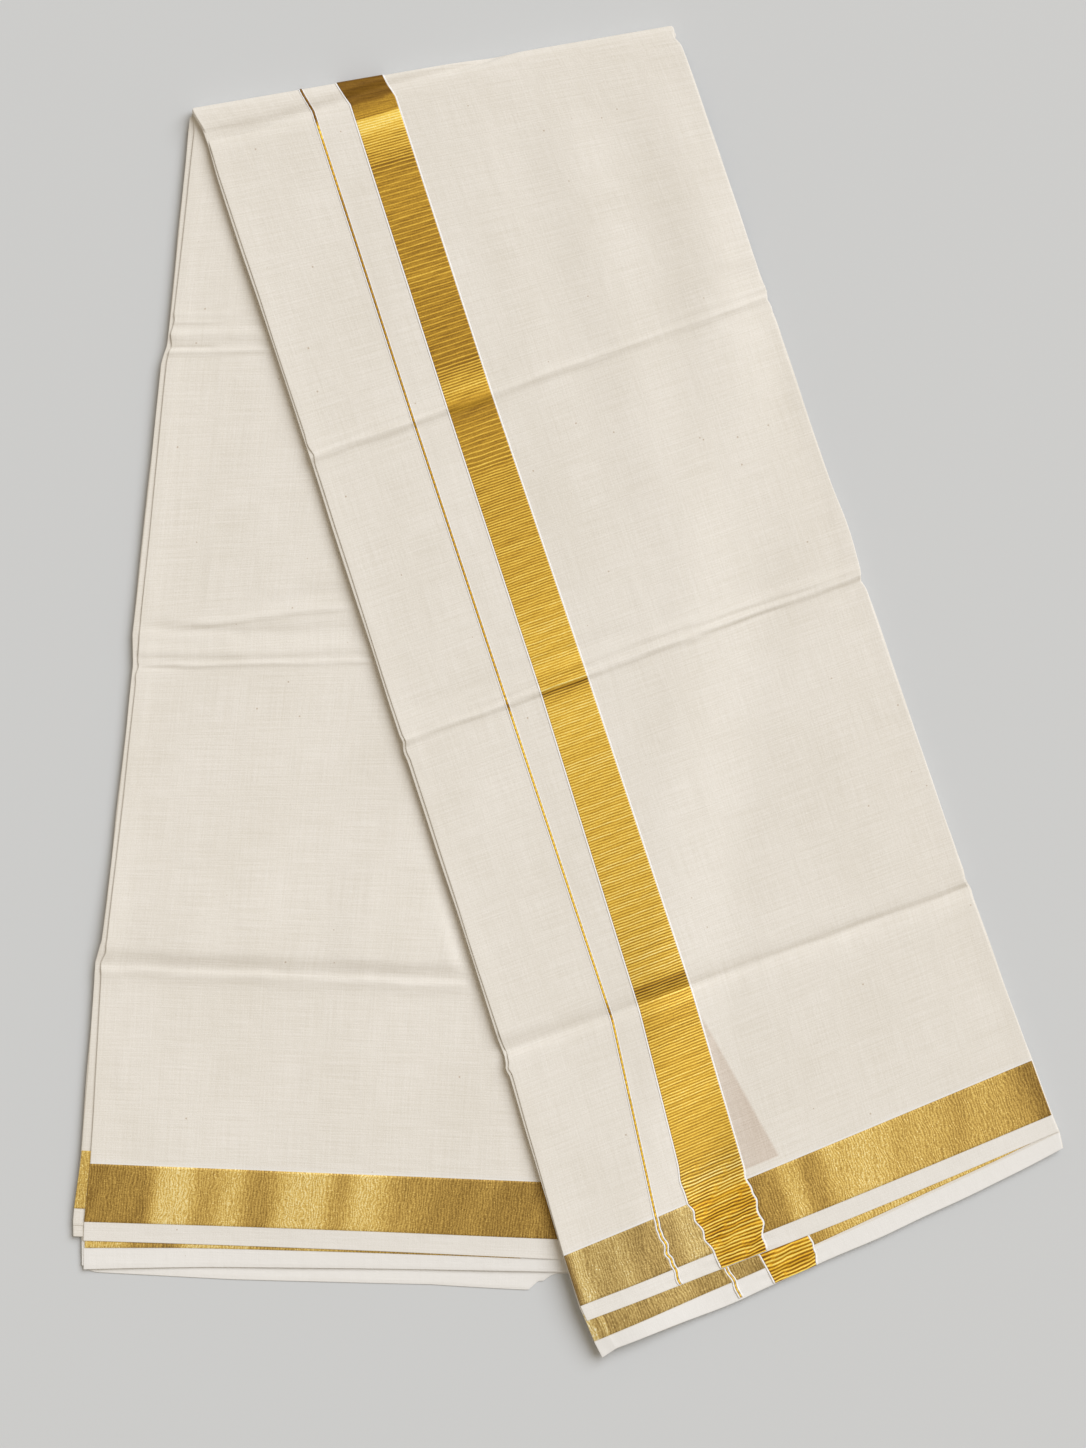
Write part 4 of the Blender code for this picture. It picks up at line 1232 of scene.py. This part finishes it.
def build_front_gold(looks):
    leg = FRONT_LEG
    at = leg.down_at
    level = GOLD_LEVEL
    thread_end = at["hem"] - 0.4
    band = add_gold(
        "front_end_band", leg, woven_line("band_start", 0.4, BAND_START_KINKS),
        woven_line("band_end", -0.4, BAND_END_KINKS), shares_across(14, 0.03),
        rows_down(GOLD_START, at["hem"] - 0.6, 0.27), BAND_STRIP, looks["ribbed"], raised=band_ribs,
        tone=band_tone_and_painted_light)
    band_cords = add_cords(
        "front_end_band", leg,
        (woven_line("band_start", 0.0, BAND_START_KINKS), woven_line("band_end", 0.0, BAND_END_KINKS)),
        (BAND_CORD, BAND_CORD), level, rows_down(GOLD_START, thread_end, 1.0), looks, flat=0.24, twist=0.04)
    line = add_thread(
        "front_thread_line_zari", leg, woven_line("thread", 0.0, THREAD_KINKS), level, GOLD_LINE,
        rows_down(GOLD_START, thread_end, 0.55), looks["gold_yarn"], flat=0.20, twist=0.16, tone=THREAD_TONE_AND_PAINTED_LIGHT)
    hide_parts("front_thread_line")
    line_cords = add_cords(
        "front_thread_line", leg, beside_thread(THREAD_KINKS), (LEFT_LINE_CORD, RIGHT_LINE_CORD), level,
        rows_down(GOLD_START, thread_end, 1.2), looks, sides=6, flat=0.16)
    stretches = (
        (moved(FACE_LEFT, 0.15), woven_line("thread", -1.5, THREAD_KINKS), shares_across(26, 0.014)),
        (woven_line("thread", 1.5, THREAD_KINKS), woven_line("band_start", -0.7, BAND_START_KINKS),
         shares_across(14, 0.04)),
        (woven_line("band_end", 0.7, BAND_END_KINKS), moved(FACE_RIGHT, -0.15), shares_across(70)))
    borders = add_borders("front_border", leg, stretches, rows_down(at["border_top"], at["border_low"], 1.3),
                          FRONT_BORDER_STRIP, FRONT_BORDER_PAINTED_REFLECTION, looks)
    return [band, *band_cords, line, *line_cords, *borders]


def build_second_gold(looks):
    """The second ply's own border, thread line and end band, which show below the face ply's hem."""
    leg = SECOND_LEG
    at = leg.down_at
    level = SECOND_GOLD_LEVEL
    top = at["hem"] - 4.0
    hem = at["second_hem"] - 0.7
    rows = rows_down(top + 1.0, hem, 0.8)
    threads = (SECOND_THREADS, SECOND_THREADS)
    band = add_gold(
        "front_second_end_band", leg, woven_line("band_start", 0.5),
        woven_line("band_end", -0.5, SECOND_BAND_END_KINKS), shares_across(14, 0.03),
        rows_down(top, hem, 0.30), SECOND_BAND_STRIP, looks["ribbed"], raised=second_band_ribs,
        tone=band_tone_and_painted_light, droop=0.4)
    band_cords = add_cords(
        "front_second_band", leg,
        (woven_line("band_start"), woven_line("band_end", 0.0, SECOND_BAND_END_KINKS)), threads, level, rows,
        looks)
    line = add_thread(
        "front_second_thread_line_zari", leg, woven_line("thread", 0.0, SECOND_THREAD_KINKS), level,
        SECOND_THREADS, rows_down(top + 1.0, hem, 0.5), looks["gold_yarn"], twist=0.16, tone=THREAD_TONE_AND_PAINTED_LIGHT)
    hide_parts("front_second_thread_line")
    line_cords = add_cords("front_second_thread", leg, beside_thread(SECOND_THREAD_KINKS), threads, level,
                           rows, looks, sides=6)
    stretches = (
        (moved(SECOND_LEFT, 0.15), woven_line("thread", -1.2, SECOND_THREAD_KINKS), shares_across(64)),
        (woven_line("thread", 1.2, SECOND_THREAD_KINKS), woven_line("band_start", -0.6),
         shares_across(12, 0.04)),
        (woven_line("band_end", 0.7, SECOND_BAND_END_KINKS), right_edge(-16.0), shares_across(44)))
    borders = add_borders("front_second_border", leg, stretches, rows_down(top, at["second_border_low"], 0.9),
                          SECOND_BORDER_STRIP, second_border_painted_light, looks, SECOND_BORDER_HEMS)
    return [band, *band_cords, line, *line_cords, *borders]


def ledge(share):
    """How far the folded-edge plies stand out to the left of the back face, at a share of their reach."""
    def reach(down):
        out = BACK_LEG.read("left", down) - BACK_LEG.read("ledge", down)
        return share * np.hypot(*out.T)
    return reach


BACK_START = -7.5  # the back leg's plies start inside the top fold

# How far the lower plies stand out on the left, down the cloth, and how far each hem reaches past its last
# row, across the leg. The lowest ply's hem ends at a cut corner.
BACK_SECOND_LEFT = from_table((0, 1.0), (300, 1.6), (520, 2.6), (588, 2.2), (600, 0.3), (620, 0.1))
BACK_THIRD_LEFT = from_table((0, 0.6), (300, 2.2), (520, 3.2), (588, 3.0), (600, 1.1), (620, 0.9))
BACK_LOWEST_LEFT = from_table((0, 0.6), (300, 2.4), (560, 3.0), (600, 0.0), (612, -1.5), (620, -4.1))
BACK_SECOND_HEM = from_table((0.0, 1.1), (0.08, 0.6), (0.25, -0.2), (0.5, -0.4), (0.95, -0.8), (1.0, -0.8))
BACK_THIRD_HEM = from_table((0.0, -0.4), (0.25, -1.6), (1.0, -2.0))
BACK_CORE_HEM = from_table((0.0, -15.0), (1.0, -16.0))
BACK_LOWEST_HEM = from_table(
    (0.0, 0.9), (0.01, 1.8), (0.14, 3.2), (0.29, 5.0), (0.49, 6.4), (0.69, 7.9), (0.885, 11.8), (0.892, 11.8),
    (0.909, 5.9), (0.92, 5.5), (0.934, 1.5), (0.946, 0.0), (1.0, 0.0))
SLIVER_HEM = from_table((0.0, 2.3), (0.22, 1.3), (0.49, 0.8), (0.73, 0.5), (0.89, 0.1), (1.0, 0.0))
FOLDED_EDGE_LEFT = left_edge(ledge(1.0), 0.25, 33)


def back_rows(end, spots=BACK_SPOTS):
    return stops_down(BACK_START, end, PLAIN_FINE, COARSE, spots)


def build_back(looks):
    leg = BACK_LEG
    at = leg.down_at
    rows = back_rows(at["second_hem"], BACK_SPOTS + BACK_HEM_SPOT)
    face = add_sheet(
        "back_face_ply", leg, BACK_FACE_LEFT, right_edge(0.0), shares_across(92),
        stops_down(BACK_START, at["hem"], 0.85, 2.8, BACK_SPOTS), FACE_PLY, looks["back_face"], droop=0.75)
    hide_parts("back_face")
    upper = add_sheet(
        "back_folded_edge_ply", leg, FOLDED_EDGE_LEFT, right_edge(-1.0), shares_across(36),
        back_rows(at["ledge_end"] - 6.0), FOLDED_EDGE_PLY, looks["plain"], wrinkled=False)
    lower = add_sheet(
        "back_folded_edge_lower_ply", leg, left_edge(ledge(1.04), 0.3, 36), right_edge(-0.5),
        shares_across(36), back_rows(at["ledge_end"]), FOLDED_EDGE_LOWER_PLY, looks["plain"], wrinkled=False)
    second = add_sheet(
        "back_second_ply", leg, left_edge(BACK_SECOND_LEFT, 0.2, 39), right_edge(0.2), shares_across(60),
        rows, BACK_SECOND_PLY, looks["back_second"], hem=BACK_SECOND_HEM, droop=0.6, wrinkled=False)
    third = add_sheet(
        "back_third_ply", leg, left_edge(BACK_THIRD_LEFT, 0.2, 42), right_edge(0.4), shares_across(40), rows,
        BACK_THIRD_PLY, looks["back_second"], hem=BACK_THIRD_HEM, droop=0.5, wrinkled=False)
    core = add_sheet(
        "back_folded_plies", leg, left_edge(ledge(0.55), 0.3, 45), right_edge(0.0), shares_across(36), rows,
        BACK_LOWER_PLIES, looks["plain"], hem=BACK_CORE_HEM, uneven=0.4, wrinkled=False, seed=46)
    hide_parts("back_hidden_plies")
    corner_shares = np.linspace(0.88, 0.95, 29)
    lowest = add_sheet(
        "back_lowest_ply", leg, left_edge(BACK_LOWEST_LEFT), right_edge(0.0),
        np.union1d(shares_across(100), corner_shares), back_rows(at["second_hem"], BACK_HEM_SPOT),
        BACK_LOWEST_PLY, looks["back_second"], hem=BACK_LOWEST_HEM, wrinkled=False)
    return face, upper, lower, second, third, core, lowest


def to_front_leg(leg, down):
    """The back border goes under the front leg, and stops just inside the shade of its edge."""
    left = leg.read("left", down)
    right = leg.read("right", down)
    line = (FRONT[4].left, FRONT[5].left)
    clear = -beyond_line(left, line) - 0.9
    return leg.width(down) * clear / (beyond_line(right, line) - beyond_line(left, line))


def build_back_gold(looks):
    leg = BACK_LEG
    at = leg.down_at
    look = looks["border"]
    border = add_gold(
        "back_border", leg, moved(BACK_FACE_LEFT, 0.08), to_front_leg, shares_across(90),
        rows_down(at["border_top"], at["border_low"], 1.3), BACK_BORDER_STRIP, look, tone=BACK_BORDER_PAINTED_REFLECTION)
    edge = add_gold(
        "back_folded_edge_border", leg, FOLDED_EDGE_LEFT, fixed_line(0.7), shares_across(8, 0.14),
        rows_down(at["ledge_border_top"], at["ledge_border_low"], 1.0), FOLDED_EDGE_STRIP, look,
        tone=LEDGE_BORDER_TONE, wrinkled=False)
    sliver = add_sheet(
        "back_second_border_zari", leg, fixed_line(0.6), right_edge(-34.0), shares_across(60),
        rows_down(at["border_low"], at["hem"] + 0.4, 1.0), SLIVER_STRIP, look,
        tone=SLIVER_PAINTED_REFLECTION, wrinkled=False, hem=SLIVER_HEM)
    return [border, edge, sliver]


# ---------------------------------------------------------------- the whole cloth

CLOTH_END = 640.0  # past the hems, but for the second ply's, which lies a little further down


def along_border(stations, white, hem_white):
    """The firmer strips of a face ply: a faint and a white one above its border, and its hem below it."""
    top = stations["border_top"]
    return ((top - 2.6, top - 1.0, 0.2), (top - 1.1, top + 0.5, white),
            (stations["border_low"], CLOTH_END, hem_white))


def make_looks():
    front = FRONT_LEG.down_at
    back = BACK_LEG.down_at
    border = ((1.0, 0.08, 0.26), 0.66, 0.105)
    return {
        "face": cotton("front_face_cotton", along_border(front, 1.0, 0.45), shown_through=True),
        "second": cotton("front_second_cotton", ((front["second_border_low"], CLOTH_END + 20.0, 0.9),)),
        "back_face": cotton("back_face_cotton", along_border(back, 0.7, 0.35)),
        "back_second": cotton("back_second_cotton", ((back["hem"], CLOTH_END, 0.8),)),
        "plain": cotton("plain_cotton"),
        "ribbed": zari("end_band_zari", BAND_GOLD, (0.10, 1.8, 0.26), 0.24, loose=LOOSE_GOLD),
        "border": zari("border_zari", KHAKI_GOLD, *border),
        "greyer_border": zari("worn_border_zari", GREYER_KHAKI_GOLD, *border),
        "gold_yarn": zari("gold_yarn", RICH_GOLD, (0.8, 0.8, 0.2), 0.2),
        "white_yarn": yarn("white_yarn", (0.86, 0.845, 0.825), (0.94, 0.93, 0.92), 0.85),
    }


def main():
    add_camera()
    add_lamps()
    bpy.context.scene.view_settings.view_transform = "Standard"
    looks = make_looks()
    front_cloth = build_front(looks)
    front_gold = build_front_gold(looks)
    second_gold = build_second_gold(looks)
    back_cloth = build_back(looks)
    back_gold = build_back_gold(looks)
    add_floor()
    for piece in front_cloth + back_cloth:
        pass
    for piece in front_gold + second_gold + back_gold:
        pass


main()
